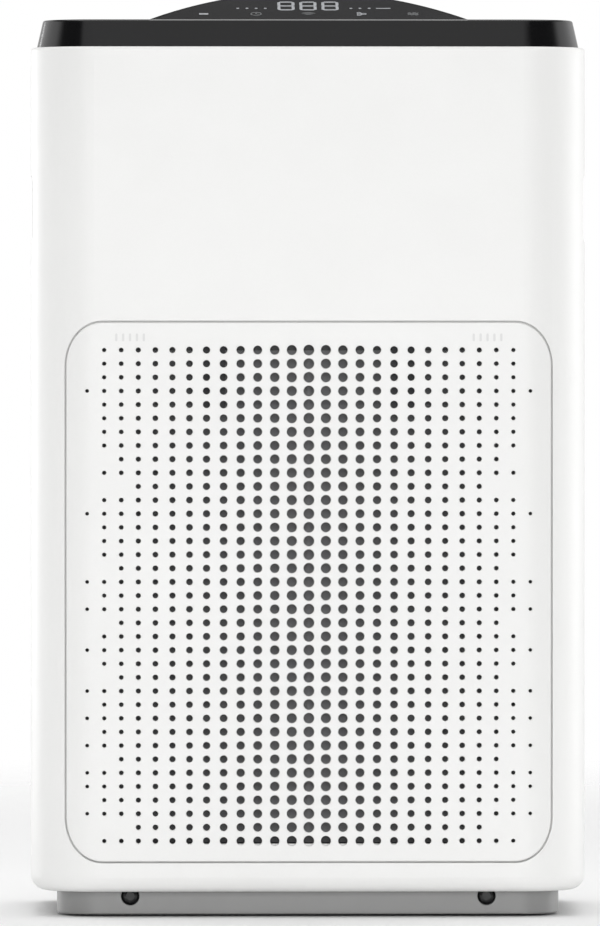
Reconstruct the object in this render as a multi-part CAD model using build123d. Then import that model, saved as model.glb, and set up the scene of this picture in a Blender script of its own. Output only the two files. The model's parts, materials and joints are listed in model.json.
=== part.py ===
from build123d import *
import math
import os

# Tower air purifier. Millimetres, +Z up, front towards -Y, origin on the floor under the middle.
# Room air enters through the holes of the front panel, passes the filter stack, is drawn through
# the inlet mouth by a centrifugal fan wheel, and is blown up a duct to the grille in the black top.

# ---- driving dimensions: casing ----
WIDTH, DEPTH = 340.0, 205.0
FRONT_Y, BACK_Y = -DEPTH / 2, DEPTH / 2
CORNER_R = 39.0
WALL = 3.0
PLINTH_BOTTOM, BODY_BOTTOM, BODY_TOP = 1.4, 15.6, 531.7
BOTTOM_ROUND, TOP_ROUND = 9.2, 2.0
SEAM_Y, SEAM_GAP = 62.0, 0.5

# ---- black top ----
COLLAR_INSET, COLLAR_TOP, COLLAR_TAPER = 3.9, 548.4, 12.8
COLLAR_H = COLLAR_TOP - BODY_TOP
DECK_T = 3.0
DECK_INSET = COLLAR_INSET + COLLAR_H * math.tan(math.radians(COLLAR_TAPER))
HUMP_HALF, HUMP_R, SHOULDER_R, SHOULDER_DEG, SLOPE_DEG = 97.0, 262.0, 150.0, 12.0, 19.4
HUMP_CENTRE_Z = COLLAR_TOP - math.sqrt(HUMP_R**2 - HUMP_HALF**2)
SHOULDER_X = (HUMP_R - SHOULDER_R) * math.sin(math.radians(SHOULDER_DEG))
SHOULDER_Z = HUMP_CENTRE_Z + (HUMP_R - SHOULDER_R) * math.cos(math.radians(SHOULDER_DEG))
HUMP_TOP = SHOULDER_Z + SHOULDER_R
HUMP_FRONT_Y = FRONT_Y + DECK_INSET
HUMP_RISE = HUMP_TOP - COLLAR_TOP
RIDGE_Y = HUMP_FRONT_Y + HUMP_RISE / math.tan(math.radians(SLOPE_DEG))
RIDGE_DEPTH, HUMP_BACK_DEG = 3.0, 66.0
LENS_T = 1.25
SLOPE_LENGTH = HUMP_RISE / math.sin(math.radians(SLOPE_DEG))
GRILLE_HALF, GRILLE_Y0, GRILLE_Y1, GRILLE_R = 146.0, -33.0, 82.0, 20.0
GRILLE_DROP = 9.1

# ---- front panel and its holes ----
PANEL_HALF, PANEL_Z0, PANEL_Z1 = 148.1, 34.4, 363.6
PANEL_RX, PANEL_RZ, PANEL_T, PANEL_GAP = 22.0, 26.8, 3.0, 0.9
HOLE_PITCH_X, HOLE_PITCH_Z, TOP_ROW_Z, HOLE_ROWS = 10.4, 8.32, 346.6, 37
USUAL_REACH = 12  # holes each side of the middle one in most rows
LONG_ROWS = (4, 13, 18, 20, 23, 26, 28, 30, 32, 33, 35)  # one hole more each side
SHORT_ROWS = (9, 17, 21, 25, 31)  # one hole fewer
SHORTEST_ROWS = (11, 36)  # two fewer
BEAD_R, BEAD_HALF = PANEL_T / 2, PANEL_HALF - PANEL_RX
PIVOT_Y, PIVOT_Z = FRONT_Y + BEAD_R, PANEL_Z0 + BEAD_R
HOOK_X, HOOK_HALF = 90.0, 5.0
LATCH_X, LATCH_Z = 109.0, 358.6
SWITCH_X = 58.0

# ---- filter bay ----
BAY_HALF, BAY_Z0, BAY_Z1, BAY_WALL = 139.0, 45.2, 351.2, 2.0
LEDGE_OUT, LEDGE_IN = 3.2, 5.7
BAY_FRONT_Y, BAY_BACK_Y, BAY_PLATE = FRONT_Y + LEDGE_IN, -46.0, 2.5

# ---- fan ----
FAN_X, FAN_Z = -12.0, 199.0
WHEEL_R, WHEEL_HUB_R, BLADE_IN_R, BLADES = 92.0, 15.0, 73.0, 40
WHEEL_Y0, WHEEL_Y1 = -37.0, 10.0
MOUTH_R = 76.0
SCROLL_WALL, SPIRAL_STEP, SPIRAL_R = 2.0, 14.0, 104.0
SCROLL_Y0, SCROLL_Y1 = BAY_BACK_Y + SCROLL_WALL, 22.0
TONGUE_DEG, SCROLL_TOP = 50.0, 330.0
SHAFT_R, MOTOR_R, MOTOR_Y1 = 4.0, 41.0, 62.0

# ---- side handles ----
HANDLE_Y0, HANDLE_Y1, HANDLE_Z0, HANDLE_Z1, HANDLE_R = -74.0, 34.0, 412.8, 453.3, 4.5
CUP_DEPTH, CUP_WALL, CUP_LIFT = 24.0, 2.0, 13.0

# ---- back ----
INLET_X, INLET_Z, PIN_SPACING = 105.0, 62.0, 8.6
DOOR_X, DOOR_Z0, DOOR_W, DOOR_H, DOOR_T = -92.0, 380.0, 62.0, 46.0, 3.0
DOOR_PIVOT_Y, DOOR_PIVOT_Z = BACK_Y - DOOR_T, DOOR_Z0 + DOOR_T
REAR_BOSS_Y = 88.0
BOARD_Y, BOARD_T = 66.0, 1.6

# ---- plinth ----
PLINTH_INSET, PLINTH_WALL = 16.0, 3.0
CAP_X, CAP_Z, CAP_R = 109.0, 12.5, 5.7
BASE_HEAD_Z = 8.0
FOOT_X, FOOT_Y, FOOT_R = 118.0, 58.0, 11.0


# ---- helpers ----
def outline(inset):
    """The casing's plan, moved inwards by inset."""
    return RectangleRounded(WIDTH - 2 * inset, DEPTH - 2 * inset, CORNER_R - inset)


def column(sketch, z0, z1):
    """A plan sketch raised from z0 to z1."""
    return Pos(0, 0, z0) * extrude(sketch, z1 - z0)


def along_y(sketch, y0, y1):
    """A sketch of (x, z) carried from y0 to y1."""
    return extrude(Plane(origin=(0, y1, 0), x_dir=(1, 0, 0), z_dir=(0, -1, 0)) * sketch, y1 - y0)


def along_x(sketch, x0, x1):
    """A sketch of (y, z) carried from x0 to x1."""
    return extrude(Plane(origin=(x0, 0, 0), x_dir=(0, 1, 0), z_dir=(1, 0, 0)) * sketch, x1 - x0)


def block(x0, x1, y0, y1, z0, z1):
    """A box given by its limits."""
    return Pos((x0 + x1) / 2, (y0 + y1) / 2, (z0 + z1) / 2) * Box(x1 - x0, y1 - y0, z1 - z0)


def rod_y(x, z, radius, y0, y1):
    """A round bar along Y."""
    return along_y(Pos(x, z) * Circle(radius), y0, y1)


def rod_z(x, y, radius, z0, z1):
    """A round bar along Z."""
    return column(Pos(x, y) * Circle(radius), z0, z1)


def rod_x(y, z, radius, x0, x1):
    """A round bar along X."""
    return along_x(Pos(y, z) * Circle(radius), x0, x1)


def plate_rounded(half, z0, z1, radius):
    """An upright rounded rectangle in (x, z), symmetric about x = 0."""
    return Pos(0, (z0 + z1) / 2) * RectangleRounded(2 * half, z1 - z0, radius)


def panel_window(grow):
    """The front panel's outline in (x, z), grown by grow. Its corners are quarter ellipses."""
    half, z0, z1 = PANEL_HALF + grow, PANEL_Z0 - grow, PANEL_Z1 + grow
    rx, rz = PANEL_RX + grow, PANEL_RZ + grow
    cx, low, high = half - rx, z0 + rz, z1 - rz
    lines = [
        EllipticalCenterArc((cx, high), rx, rz, 0, arc_size=90),
        Line((cx, z1), (-cx, z1)),
        EllipticalCenterArc((-cx, high), rx, rz, 90, arc_size=90),
        Line((-half, high), (-half, low)),
        EllipticalCenterArc((-cx, low), rx, rz, 180, arc_size=90),
        Line((-cx, z0), (cx, z0)),
        EllipticalCenterArc((cx, low), rx, rz, 270, arc_size=90),
        Line((half, low), (half, high)),
    ]
    return make_face(lines)


def row_reach(row):
    """How many holes a row has each side of its middle one; row 1 is the top row."""
    extra = (row in LONG_ROWS) - (row in SHORT_ROWS) - 2 * (row in SHORTEST_ROWS)
    return USUAL_REACH + extra


def hole_diameter(column_number):
    """Holes shrink from the middle column outwards, a little less with every column."""
    return 6.45 - 0.38 * column_number + 0.004 * column_number**2


def casing_outer():
    """The whole white casing as a solid, with its rounded bottom and top edges."""
    solid = column(outline(0), BODY_BOTTOM, BODY_TOP)
    solid = fillet(solid.faces().sort_by(Axis.Z)[0].edges(), BOTTOM_ROUND)
    return fillet(solid.faces().sort_by(Axis.Z)[-1].edges(), TOP_ROUND)


def casing_shell():
    """The casing hollowed to its wall, with an inward lip round the open top."""
    cavity = column(outline(WALL), BODY_BOTTOM + WALL, BODY_TOP - WALL)
    cavity = fillet(cavity.faces().sort_by(Axis.Z)[0].edges(), BOTTOM_ROUND - WALL)
    mouth = column(outline(12.0), BODY_TOP - WALL - 1, BODY_TOP + 1)
    return casing_outer() - cavity - mouth


def handle_opening(grow, x0, x1):
    """The finger opening's outline in (y, z) carried from x0 to x1."""
    size_y, size_z = HANDLE_Y1 - HANDLE_Y0 + 2 * grow, HANDLE_Z1 - HANDLE_Z0 + 2 * grow
    middle = Pos((HANDLE_Y0 + HANDLE_Y1) / 2, (HANDLE_Z0 + HANDLE_Z1) / 2)
    return along_x(middle * RectangleRounded(size_y, size_z, HANDLE_R + grow), x0, x1)


# ---- casing ----
def front_housing(shell):
    """The white front shell: front face and sides, the panel's seat, latch holes and screw posts."""
    solid = shell & block(-200, 200, -150, SEAM_Y, 0, 600)
    seat = column(outline(WALL), 25, 372) - column(outline(LEDGE_IN), 24, 373)
    solid += seat & along_y(panel_window(6.0), -110, -60)
    solid -= along_y(panel_window(PANEL_GAP), -110, -60) - column(outline(LEDGE_OUT), 0, 600)
    solid -= along_y(plate_rounded(BAY_HALF, BAY_Z0, BAY_Z1, 8.0), -110, -60)
    # Room for the panel's lower inner edge and for its hooks as it tilts.
    solid -= block(-141, 141, -100, -98.4, PANEL_Z0 - PANEL_GAP, 38.5)
    for x in (-HOOK_X, HOOK_X):
        solid -= block(x - HOOK_HALF - 0.6, x + HOOK_HALF + 0.6, -100, -95, 36.2, 46)
    for side in (-1, 1):
        solid -= block(side * LATCH_X - 4, side * LATCH_X + 4, -100, -95, LATCH_Z - 3.5, LATCH_Z + 3.5)
        solid -= handle_opening(0, min(side * 150, side * 180), max(side * 150, side * 180))
    solid -= block(SWITCH_X - 2.5, SWITCH_X + 2.5, -100, -95, LATCH_Z - 2.5, LATCH_Z + 2.5)
    for x, z in rear_screw_places():
        rib = block(min(x, 1.13 * x), max(x, 1.13 * x), 40, 57, z - 1.5, z + 1.5)
        solid += rod_y(x, z, 5, 40, REAR_BOSS_Y) + rib
        solid -= rod_y(x, z, 2.05, REAR_BOSS_Y - 18, REAR_BOSS_Y + 1)
    for x, y in base_screw_places():
        solid += rod_z(x, y, 5, BODY_BOTTOM + 1, BODY_BOTTOM + 12)
        solid -= rod_z(x, y, 2.05, BODY_BOTTOM - 1, BODY_BOTTOM + 13)
    return solid


def rear_housing(shell):
    """The white back shell, with a tongue that laps inside the front shell's edge."""
    solid = shell & block(-200, 200, SEAM_Y + SEAM_GAP, 150, 0, 600)
    tongue = column(outline(WALL + 0.2), 40, 500) - column(outline(WALL + 1.8), 39, 501)
    solid += tongue & block(-200, 200, SEAM_Y - 4, SEAM_Y + 6, 0, 600)
    lap = column(outline(WALL - 0.1), 40, 500) - column(outline(WALL + 1.8), 39, 501)
    solid += lap & block(-200, 200, SEAM_Y + 2, SEAM_Y + 6, 0, 600)
    door_hole = Pos(DOOR_X, DOOR_Z0 + DOOR_H / 2) * RectangleRounded(DOOR_W + 1, DOOR_H + 1, 0.6)
    solid -= along_y(door_hole, BACK_Y - WALL - 1, BACK_Y + 1)
    notch_half = DOOR_W / 2 + 4.5
    solid -= rod_x(DOOR_PIVOT_Y, DOOR_PIVOT_Z, 1.5, DOOR_X - notch_half, DOOR_X + notch_half)
    solid -= along_y(Pos(INLET_X, INLET_Z) * RectangleRounded(24.4, 16.4, 3), BACK_Y - 5, BACK_Y + 1)
    inside = column(outline(1.0), 20, 520)
    for x, z in rear_screw_places():
        solid += rod_y(x, z, 5.5, REAR_BOSS_Y, BACK_Y) & inside
        solid -= rod_y(x, z, 3.8, REAR_BOSS_Y + 3, BACK_Y + 1)
        solid -= rod_y(x, z, 2.3, REAR_BOSS_Y - 1, BACK_Y)
    for k in range(12):
        slot = Pos(138 - 6 * k, 138) * SlotOverall(44, 2.6, rotation=90)
        solid -= along_y(slot, BACK_Y - 5, BACK_Y + 1)
    for x, z in board_post_places():
        solid += rod_y(x, z, 3, BOARD_Y + BOARD_T, BACK_Y - 1) & inside
    return solid


def rear_screw_places():
    """The back shell's screws, as (x, z)."""
    return [(side * 148, z) for side in (-1, 1) for z in (36, 250, 508)]


def board_post_places():
    """The posts on the back shell that carry the power board, as (x, z)."""
    return [(x, z) for x in (91.5, 154.5) for z in (91.5, 184.5)]


def rear_screws():
    """Pan-head screws that close the back shell."""
    screws = []
    seat = REAR_BOSS_Y + 3
    for x, z in rear_screw_places():
        head = rod_y(x, z, 3.5, seat, seat + 2.4)
        cross = Pos(x, z) * (Rectangle(3.6, 0.9) + Rectangle(0.9, 3.6))
        head -= along_y(cross, seat + 1.2, seat + 3)
        screws.append(head + rod_y(x, z, 2.0, seat - 18, seat + 0.1))
    return Compound(screws)


def handle_cup(side):
    """A finger pocket behind the side opening, taller inside so that fingers hook over its edge."""
    inner_x, mouth_x = WIDTH / 2 - CUP_DEPTH, WIDTH / 2 - WALL
    size_y = HANDLE_Y1 - HANDLE_Y0
    middle_y = (HANDLE_Y0 + HANDLE_Y1) / 2
    high = HANDLE_Z1 + CUP_LIFT
    middle_z, size_z = (HANDLE_Z0 + high) / 2, high - HANDLE_Z0

    def pocket(grow, x0, x1):
        plan = RectangleRounded(size_y + 2 * grow, size_z + 2 * grow, HANDLE_R + grow)
        return along_x(Pos(middle_y, middle_z) * plan, x0, x1)

    # The cup is cut to the casing's inner surface, which curves away at the front end.
    inside = column(outline(WALL), 300, 500)
    cup = pocket(CUP_WALL, inner_x - CUP_WALL, mouth_x) & inside
    hollow = pocket(0, inner_x, mouth_x - CUP_WALL)
    cup -= hollow & column(outline(WALL + CUP_WALL), 300, 500)
    cup -= handle_opening(0, inner_x + 2, 180)
    return cup if side > 0 else mirror(cup, about=Plane.YZ)


# ---- front panel ----
def front_panel():
    """The perforated cover, flush with the casing. It tilts on its round lower edge."""
    skin = column(outline(0), 20, 380) - column(outline(PANEL_T), 19, 381)
    panel = skin & along_y(panel_window(0), -110, -60)
    panel -= block(-BEAD_HALF, BEAD_HALF, -110, -90, 0, PIVOT_Z)
    panel += rod_x(PIVOT_Y, PIVOT_Z, BEAD_R, -BEAD_HALF, BEAD_HALF)
    holes = []
    for row in range(1, HOLE_ROWS + 1):
        z = TOP_ROW_Z - (row - 1) * HOLE_PITCH_Z
        reach = row_reach(row)
        for k in range(-reach, reach + 1):
            holes.append(Pos(k * HOLE_PITCH_X, z) * Circle(hole_diameter(abs(k)) / 2))
    return panel - along_y(Sketch() + holes, -106, -88)


def panel_hooks():
    """The two hooks on the panel's inside that hold its lower edge to the seat."""
    inner = FRONT_Y + PANEL_T
    hooks = []
    for x in (-HOOK_X, HOOK_X):
        arm = block(x - HOOK_HALF, x + HOOK_HALF, inner, BAY_FRONT_Y + 2.1, 37.4, 39.7)
        finger = block(x - HOOK_HALF, x + HOOK_HALF, BAY_FRONT_Y + 0.3, BAY_FRONT_Y + 2.1, 33.0, 39.7)
        hooks.append(arm + finger)
    return Compound(hooks)


def panel_strikers():
    """The studs on the panel's inside that meet the two latches and the switch."""
    inner = FRONT_Y + PANEL_T
    studs = [block(x - 2.5, x + 2.5, inner, -94.5, LATCH_Z - 2, LATCH_Z + 2) for x in (-LATCH_X, LATCH_X)]
    studs.append(block(SWITCH_X - 1.2, SWITCH_X + 1.2, inner, -97.9, LATCH_Z - 1.2, LATCH_Z + 1.2))
    return Compound(studs)


def push_marks():
    """Two rows of small raised bars that show where to press the panel's top corners."""
    bars = []
    for side in (-1, 1):
        for k in range(5):
            bar = Pos(side * LATCH_X + (k - 2) * 4.2, 354.3) * SlotOverall(4.8, 1.4, rotation=90)
            bars.append(along_y(bar, FRONT_Y - 0.25, FRONT_Y))
    return Compound(bars)


def latch_case(x):
    """A push latch's case behind the seat: a square bore for the plunger and a rear wall."""
    case = block(x - 6, x + 6, BAY_FRONT_Y, -69, LATCH_Z - 5, LATCH_Z + 5)
    case -= block(x - 3.8, x + 3.8, -98, -71, LATCH_Z - 3.3, LATCH_Z + 3.3)
    return case - rod_y(x, LATCH_Z, 1.8, -72, -68)


def latch_plunger(x):
    """The plunger that a striker presses: a square head on a round stem."""
    head = block(x - 3.5, x + 3.5, -94.2, -84, LATCH_Z - 3, LATCH_Z + 3)
    return head + rod_y(x, LATCH_Z, 1.5, -84.5, -70.2)


def latch_spring(x):
    """The compression spring behind the plunger's head, with spread coils."""
    coil = Helix(pitch=2.1, height=11.6, radius=2.5, center=(x, LATCH_Z, 0))
    coil = Pos(0, -71.4, LATCH_Z) * Rot(90, 0, 0) * (Pos(-x, -LATCH_Z, 0) * coil)
    coil = Pos(x, 0, 0) * coil
    section = Plane(origin=coil @ 0, z_dir=coil % 0) * Circle(0.35)
    return sweep(section, path=coil)


def door_switch():
    """The small switch that stops the fan when the panel is off."""
    body = block(SWITCH_X - 9, SWITCH_X + 9, BAY_FRONT_Y, -87, LATCH_Z - 3, LATCH_Z + 3)
    body -= rod_y(SWITCH_X, LATCH_Z, 1.35, -97, -90)
    for x in (SWITCH_X - 6, SWITCH_X, SWITCH_X + 6):
        body += block(x - 1.2, x + 1.2, -87.2, -82, LATCH_Z - 0.3, LATCH_Z + 0.3)
    return body


def switch_plunger():
    """The switch's sprung pin."""
    pin = rod_y(SWITCH_X, LATCH_Z, 1.25, -97.6, -92)
    return fillet(pin.edges().sort_by(Axis.Y)[0], 0.5)


# ---- filter bay and filters ----
def filter_bay():
    """The dark tray that holds the filters, with the wall that parts it from the fan."""
    z0, z1, half = BAY_Z0 - BAY_WALL, BAY_Z1 + BAY_WALL, BAY_HALF + BAY_WALL
    bay = along_y(plate_rounded(half, z0, z1, 9.5), BAY_FRONT_Y, BAY_BACK_Y)
    bay &= column(outline(LEDGE_IN), 0, 600)
    bay -= along_y(plate_rounded(BAY_HALF, BAY_Z0, BAY_Z1, 8.0), BAY_FRONT_Y - 1, BAY_BACK_Y - BAY_PLATE)
    bay += along_y(plate_rounded(166.6, 26, 400, 4), BAY_BACK_Y - BAY_PLATE, BAY_BACK_Y)
    bay -= rod_y(FAN_X, FAN_Z, MOUTH_R + 6, -60, -40)
    for side in (-1, 1):
        for z in (90, 310):
            bay += block(side * 153 - 6, side * 153 + 6, -60, BAY_BACK_Y - 1, z - 6, z + 6)
    return bay


def filter_seal():
    """The foam ring between the filter stack and the bay's back wall."""
    ring = plate_rounded(BAY_HALF - 1, BAY_Z0 + 1, BAY_Z1 - 1, 7) - plate_rounded(
        BAY_HALF - 9, BAY_Z0 + 9, BAY_Z1 - 9, 5
    )
    return along_y(ring, BAY_BACK_Y - BAY_PLATE - 3.5, BAY_BACK_Y - BAY_PLATE)


def filter_frame():
    """The filter cartridge's frame."""
    outer = plate_rounded(BAY_HALF - 0.6, BAY_Z0 + 0.6, BAY_Z1 - 0.6, 7.4)
    inner = plate_rounded(BAY_HALF - 4.6, BAY_Z0 + 4.6, BAY_Z1 - 4.6, 1)
    frame = along_y(outer - inner, -92.5, -52.0)
    lip = outer - plate_rounded(BAY_HALF - 9, BAY_Z0 + 9, BAY_Z1 - 9, 3)
    return frame + along_y(lip, -54.0, -52.0)


def pre_filter():
    """The washable dark mesh on the front of the cartridge, in its own rim."""
    outer = plate_rounded(BAY_HALF - 4.8, BAY_Z0 + 4.8, BAY_Z1 - 4.8, 3.8)
    inner = plate_rounded(BAY_HALF - 8, BAY_Z0 + 8, BAY_Z1 - 8, 2)
    rim = along_y(outer - inner, -92.0, -89.0)
    mesh = along_y(outer, -90.4, -90.0)
    for k in range(-3, 4):
        rim += block(38 * k - 1, 38 * k + 1, -92.0, -89.6, BAY_Z0 + 7, BAY_Z1 - 7)
    for k in range(-3, 4):
        z = (BAY_Z0 + BAY_Z1) / 2 + 38 * k
        rim += block(-BAY_HALF + 7, BAY_HALF - 7, -92.0, -89.6, z - 1, z + 1)
    return rim + mesh


def pleated_filter():
    """The particle filter: one folded sheet, its folds running up and down."""
    folds, half, front, back, sheet = 46, BAY_HALF - 5, -88.0, -64.0, 0.8
    pitch = 2 * half / folds
    zigzag = []
    for k in range(folds + 1):
        zigzag.append((-half + k * pitch, front))
        if k < folds:
            zigzag.append((-half + (k + 0.5) * pitch, back - sheet * 2))
    shifted = [(x, y + sheet * 2) for x, y in reversed(zigzag)]
    plan = make_face(Polyline(*zigzag, *shifted, close=True))
    return column(plan, BAY_Z0 + 5, BAY_Z1 - 5)


def carbon_filter():
    """The carbon layer behind the pleats: a slab with a grid of square cells in its front."""
    half, z0, z1 = BAY_HALF - 5, BAY_Z0 + 5, BAY_Z1 - 5
    slab = block(-half, half, -63.0, -54.3, z0, z1)
    cell, pitch = 15.6, 18.6
    columns, rows = 14, 15
    centres = [
        ((i - (columns - 1) / 2) * pitch, (z0 + z1) / 2 + (j - (rows - 1) / 2) * pitch)
        for i in range(columns)
        for j in range(rows)
    ]
    pockets = [Pos(x, z) * Rectangle(cell, cell) for x, z in centres]
    return slab - along_y(Sketch() + pockets, -64, -57)


def pull_tabs():
    """Two ribbon tabs for drawing the cartridge out."""
    tabs = []
    for side in (-1, 1):
        x = side * 60
        tabs.append(block(x - 9, x + 9, -93.1, -92.5, BAY_Z1 - 44, BAY_Z1 - 2))
    return Compound(tabs)


def inlet_guard():
    """The finger guard over the fan's inlet: rings on crossed spokes."""
    guard = Part()
    for radius in (20, 38, 56, 72):
        guard += rod_y(FAN_X, FAN_Z, radius + 1.2, -50.4, -48.5) - rod_y(FAN_X, FAN_Z, radius, -51, -48)
    for k in range(4):
        spoke = Rot(0, 45 * k, 0) * Box(2 * 85, 1.9, 2.4)
        guard += Pos(FAN_X, -49.45, FAN_Z) * spoke
    rim = rod_y(FAN_X, FAN_Z, 88, -50.4, -48.5) - rod_y(FAN_X, FAN_Z, 82.5, -51, -48)
    return guard + rim


# ---- fan ----
def tongue_x():
    """Where the scroll's outlet parts from its spiral."""
    return FAN_X - SPIRAL_STEP / 2 + SPIRAL_R * math.cos(math.radians(TONGUE_DEG))


def scroll_plan(grow):
    """The scroll's plan in (x, z): four arcs that widen step by step, then a straight outlet."""
    h = SPIRAL_STEP / 2
    edge = tongue_x() - grow

    def centre(dx, dz):
        return (FAN_X + dx * h, FAN_Z + dz * h)

    def radius(step):
        return SPIRAL_R + step * SPIRAL_STEP + grow

    tongue = math.acos((edge - FAN_X + h) / radius(0))
    first = CenterArc(centre(-1, 1), radius(0), math.degrees(tongue), 90 - math.degrees(tongue))
    second = CenterArc(centre(-1, -1), radius(1), 90, 90)
    third = CenterArc(centre(1, -1), radius(2), 180, 90)
    fourth = CenterArc(centre(1, 1), radius(3), 270, 90)
    right = FAN_X + h + radius(3)
    start = (edge, FAN_Z + h + radius(0) * math.sin(tongue))
    walls = Polyline((right, FAN_Z + h), (right, SCROLL_TOP), (edge, SCROLL_TOP), start)
    return make_face([first, second, third, fourth, walls])


def scroll_housing():
    """The spiral wall and back plate that turn the fan's air upwards."""
    solid = along_y(scroll_plan(SCROLL_WALL), SCROLL_Y0, SCROLL_Y1)
    solid -= along_y(scroll_plan(0), SCROLL_Y0 - 1, SCROLL_Y1 - SCROLL_WALL)
    solid -= rod_y(FAN_X, FAN_Z, 12, SCROLL_Y1 - 5, SCROLL_Y1 + 5)
    for x, z in motor_screw_places():
        solid -= rod_y(x, z, 5.0, SCROLL_Y1 - 5, SCROLL_Y1 + 5)
    return solid


def scroll_cover():
    """The scroll's front plate with the rolled inlet mouth."""
    plate = along_y(scroll_plan(SCROLL_WALL), SCROLL_Y0 - 2.0, SCROLL_Y0)
    plate -= rod_y(FAN_X, FAN_Z, MOUTH_R, SCROLL_Y0 - 5, SCROLL_Y0 + 5)
    mouth = rod_y(FAN_X, FAN_Z, MOUTH_R + 2, SCROLL_Y0 - 2, SCROLL_Y0 + 4) - rod_y(
        FAN_X, FAN_Z, MOUTH_R, SCROLL_Y0 - 5, SCROLL_Y0 + 5
    )
    return plate + mouth


def fan_wheel():
    """The centrifugal wheel: hub, back plate, forward-curved blades and front ring."""
    wheel = rod_y(FAN_X, FAN_Z, WHEEL_R, WHEEL_Y1 - 2, WHEEL_Y1)
    wheel += rod_y(FAN_X, FAN_Z, WHEEL_HUB_R, WHEEL_Y1 - 22, WHEEL_Y1)
    wheel += rod_y(FAN_X, FAN_Z, WHEEL_R, WHEEL_Y0, WHEEL_Y0 + 3) - rod_y(
        FAN_X, FAN_Z, WHEEL_R - 5, WHEEL_Y0 - 1, WHEEL_Y0 + 4
    )
    middle_r, bow = (BLADE_IN_R + WHEEL_R) / 2, 4.0
    blade = trace(ThreePointArc((BLADE_IN_R, -5), (middle_r, -5 - bow), (WHEEL_R - 0.8, 3)), line_width=1.2)
    blades = [Pos(FAN_X, FAN_Z) * Rot(0, 0, 360 / BLADES * k) * blade for k in range(BLADES)]
    wheel += along_y(Sketch() + blades, WHEEL_Y0 + 1, WHEEL_Y1 - 1)
    for k in range(6):
        rib = block(FAN_X + 10, FAN_X + 70, WHEEL_Y1 - 6, WHEEL_Y1 - 1, FAN_Z - 1, FAN_Z + 1)
        wheel += rib.rotate(Axis((FAN_X, 0, FAN_Z), (0, 1, 0)), 60 * k)
    return wheel - rod_y(FAN_X, FAN_Z, SHAFT_R, -60, 60)


def motor_shaft():
    """The steel shaft with its threaded front end."""
    shaft = rod_y(FAN_X, FAN_Z, SHAFT_R, WHEEL_Y1 - 22, MOTOR_Y1 - 6)
    return shaft + rod_y(FAN_X, FAN_Z, 2.9, WHEEL_Y1 - 32, WHEEL_Y1 - 21.9)


def wheel_nut():
    """The capped nut that clamps the wheel to the shaft."""
    nut = along_y(Pos(FAN_X, FAN_Z) * RegularPolygon(6.5, 6), WHEEL_Y1 - 27.4, WHEEL_Y1 - 22)
    return nut - rod_y(FAN_X, FAN_Z, 2.95, WHEEL_Y1 - 29, WHEEL_Y1 - 21)


def motor_screw_places():
    """The motor's four mounting points, as (x, z)."""
    places = []
    for k in range(4):
        angle = math.radians(45 + 90 * k)
        places.append((FAN_X + 50 * math.cos(angle), FAN_Z + 50 * math.sin(angle)))
    return places


def motor_housing():
    """The motor's can, its end caps and four ears."""
    can = rod_y(FAN_X, FAN_Z, MOTOR_R, SCROLL_Y1 + 3, MOTOR_Y1)
    can = fillet(can.edges().sort_by(Axis.Y)[-1], 4)
    for x, z in motor_screw_places():
        can += rod_y(x, z, 7.5, SCROLL_Y1 + 3, SCROLL_Y1 + 6)
    for k in range(4):
        ear = block(FAN_X + 38, FAN_X + 50, SCROLL_Y1 + 3, SCROLL_Y1 + 6, FAN_Z - 7.5, FAN_Z + 7.5)
        can += ear.rotate(Axis((FAN_X, 0, FAN_Z), (0, 1, 0)), 45 + 90 * k)
    for x, z in motor_screw_places():
        can -= rod_y(x, z, 3.0, SCROLL_Y1, SCROLL_Y1 + 8)
    can -= rod_y(FAN_X, FAN_Z, MOTOR_R - 3, SCROLL_Y1 + 6, MOTOR_Y1 - 4)
    can -= rod_y(FAN_X, FAN_Z, 9.0, SCROLL_Y1 + 2, SCROLL_Y1 + 9)
    can += rod_y(FAN_X, FAN_Z, 13.0, SCROLL_Y1 + 5, SCROLL_Y1 + 9) - rod_y(
        FAN_X, FAN_Z, 9.0, SCROLL_Y1 + 4, SCROLL_Y1 + 10
    )
    can += rod_y(FAN_X, FAN_Z, 13.0, MOTOR_Y1 - 12, MOTOR_Y1 - 3.9) - rod_y(
        FAN_X, FAN_Z, 9.0, MOTOR_Y1 - 13, MOTOR_Y1 - 5.5
    )
    return can


def stator_core():
    """The wound stator ring inside the can, clear of the shaft."""
    core = rod_y(FAN_X, FAN_Z, MOTOR_R - 3, SCROLL_Y1 + 12, MOTOR_Y1 - 14)
    core -= rod_y(FAN_X, FAN_Z, 22, SCROLL_Y1 + 11, MOTOR_Y1 - 13)
    return core


def rotor_magnet():
    """The magnet ring pressed on the shaft."""
    ring = rod_y(FAN_X, FAN_Z, 21, SCROLL_Y1 + 11.5, MOTOR_Y1 - 13.5)
    return ring - rod_y(FAN_X, FAN_Z, SHAFT_R, SCROLL_Y1 + 10, MOTOR_Y1 - 12)


def shaft_bearings():
    """The two ball bearings in the motor's end caps."""
    rings = []
    for y0, y1 in ((SCROLL_Y1 + 4, SCROLL_Y1 + 9), (MOTOR_Y1 - 11, MOTOR_Y1 - 6)):
        rings.append(rod_y(FAN_X, FAN_Z, 8.98, y0, y1) - rod_y(FAN_X, FAN_Z, SHAFT_R + 0.05, y0 - 1, y1 + 1))
    return Compound(rings)


def motor_grommets():
    """Rubber grommets that keep the motor's hum out of the scroll."""
    grommets = []
    for x, z in motor_screw_places():
        g = rod_y(x, z, 6.5, SCROLL_Y1, SCROLL_Y1 + 3) + rod_y(x, z, 4.95, SCROLL_Y1 - 2.0, SCROLL_Y1 + 1)
        grommets.append(g - rod_y(x, z, 2.1, SCROLL_Y1 - 5, SCROLL_Y1 + 9))
    return Compound(grommets)


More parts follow.
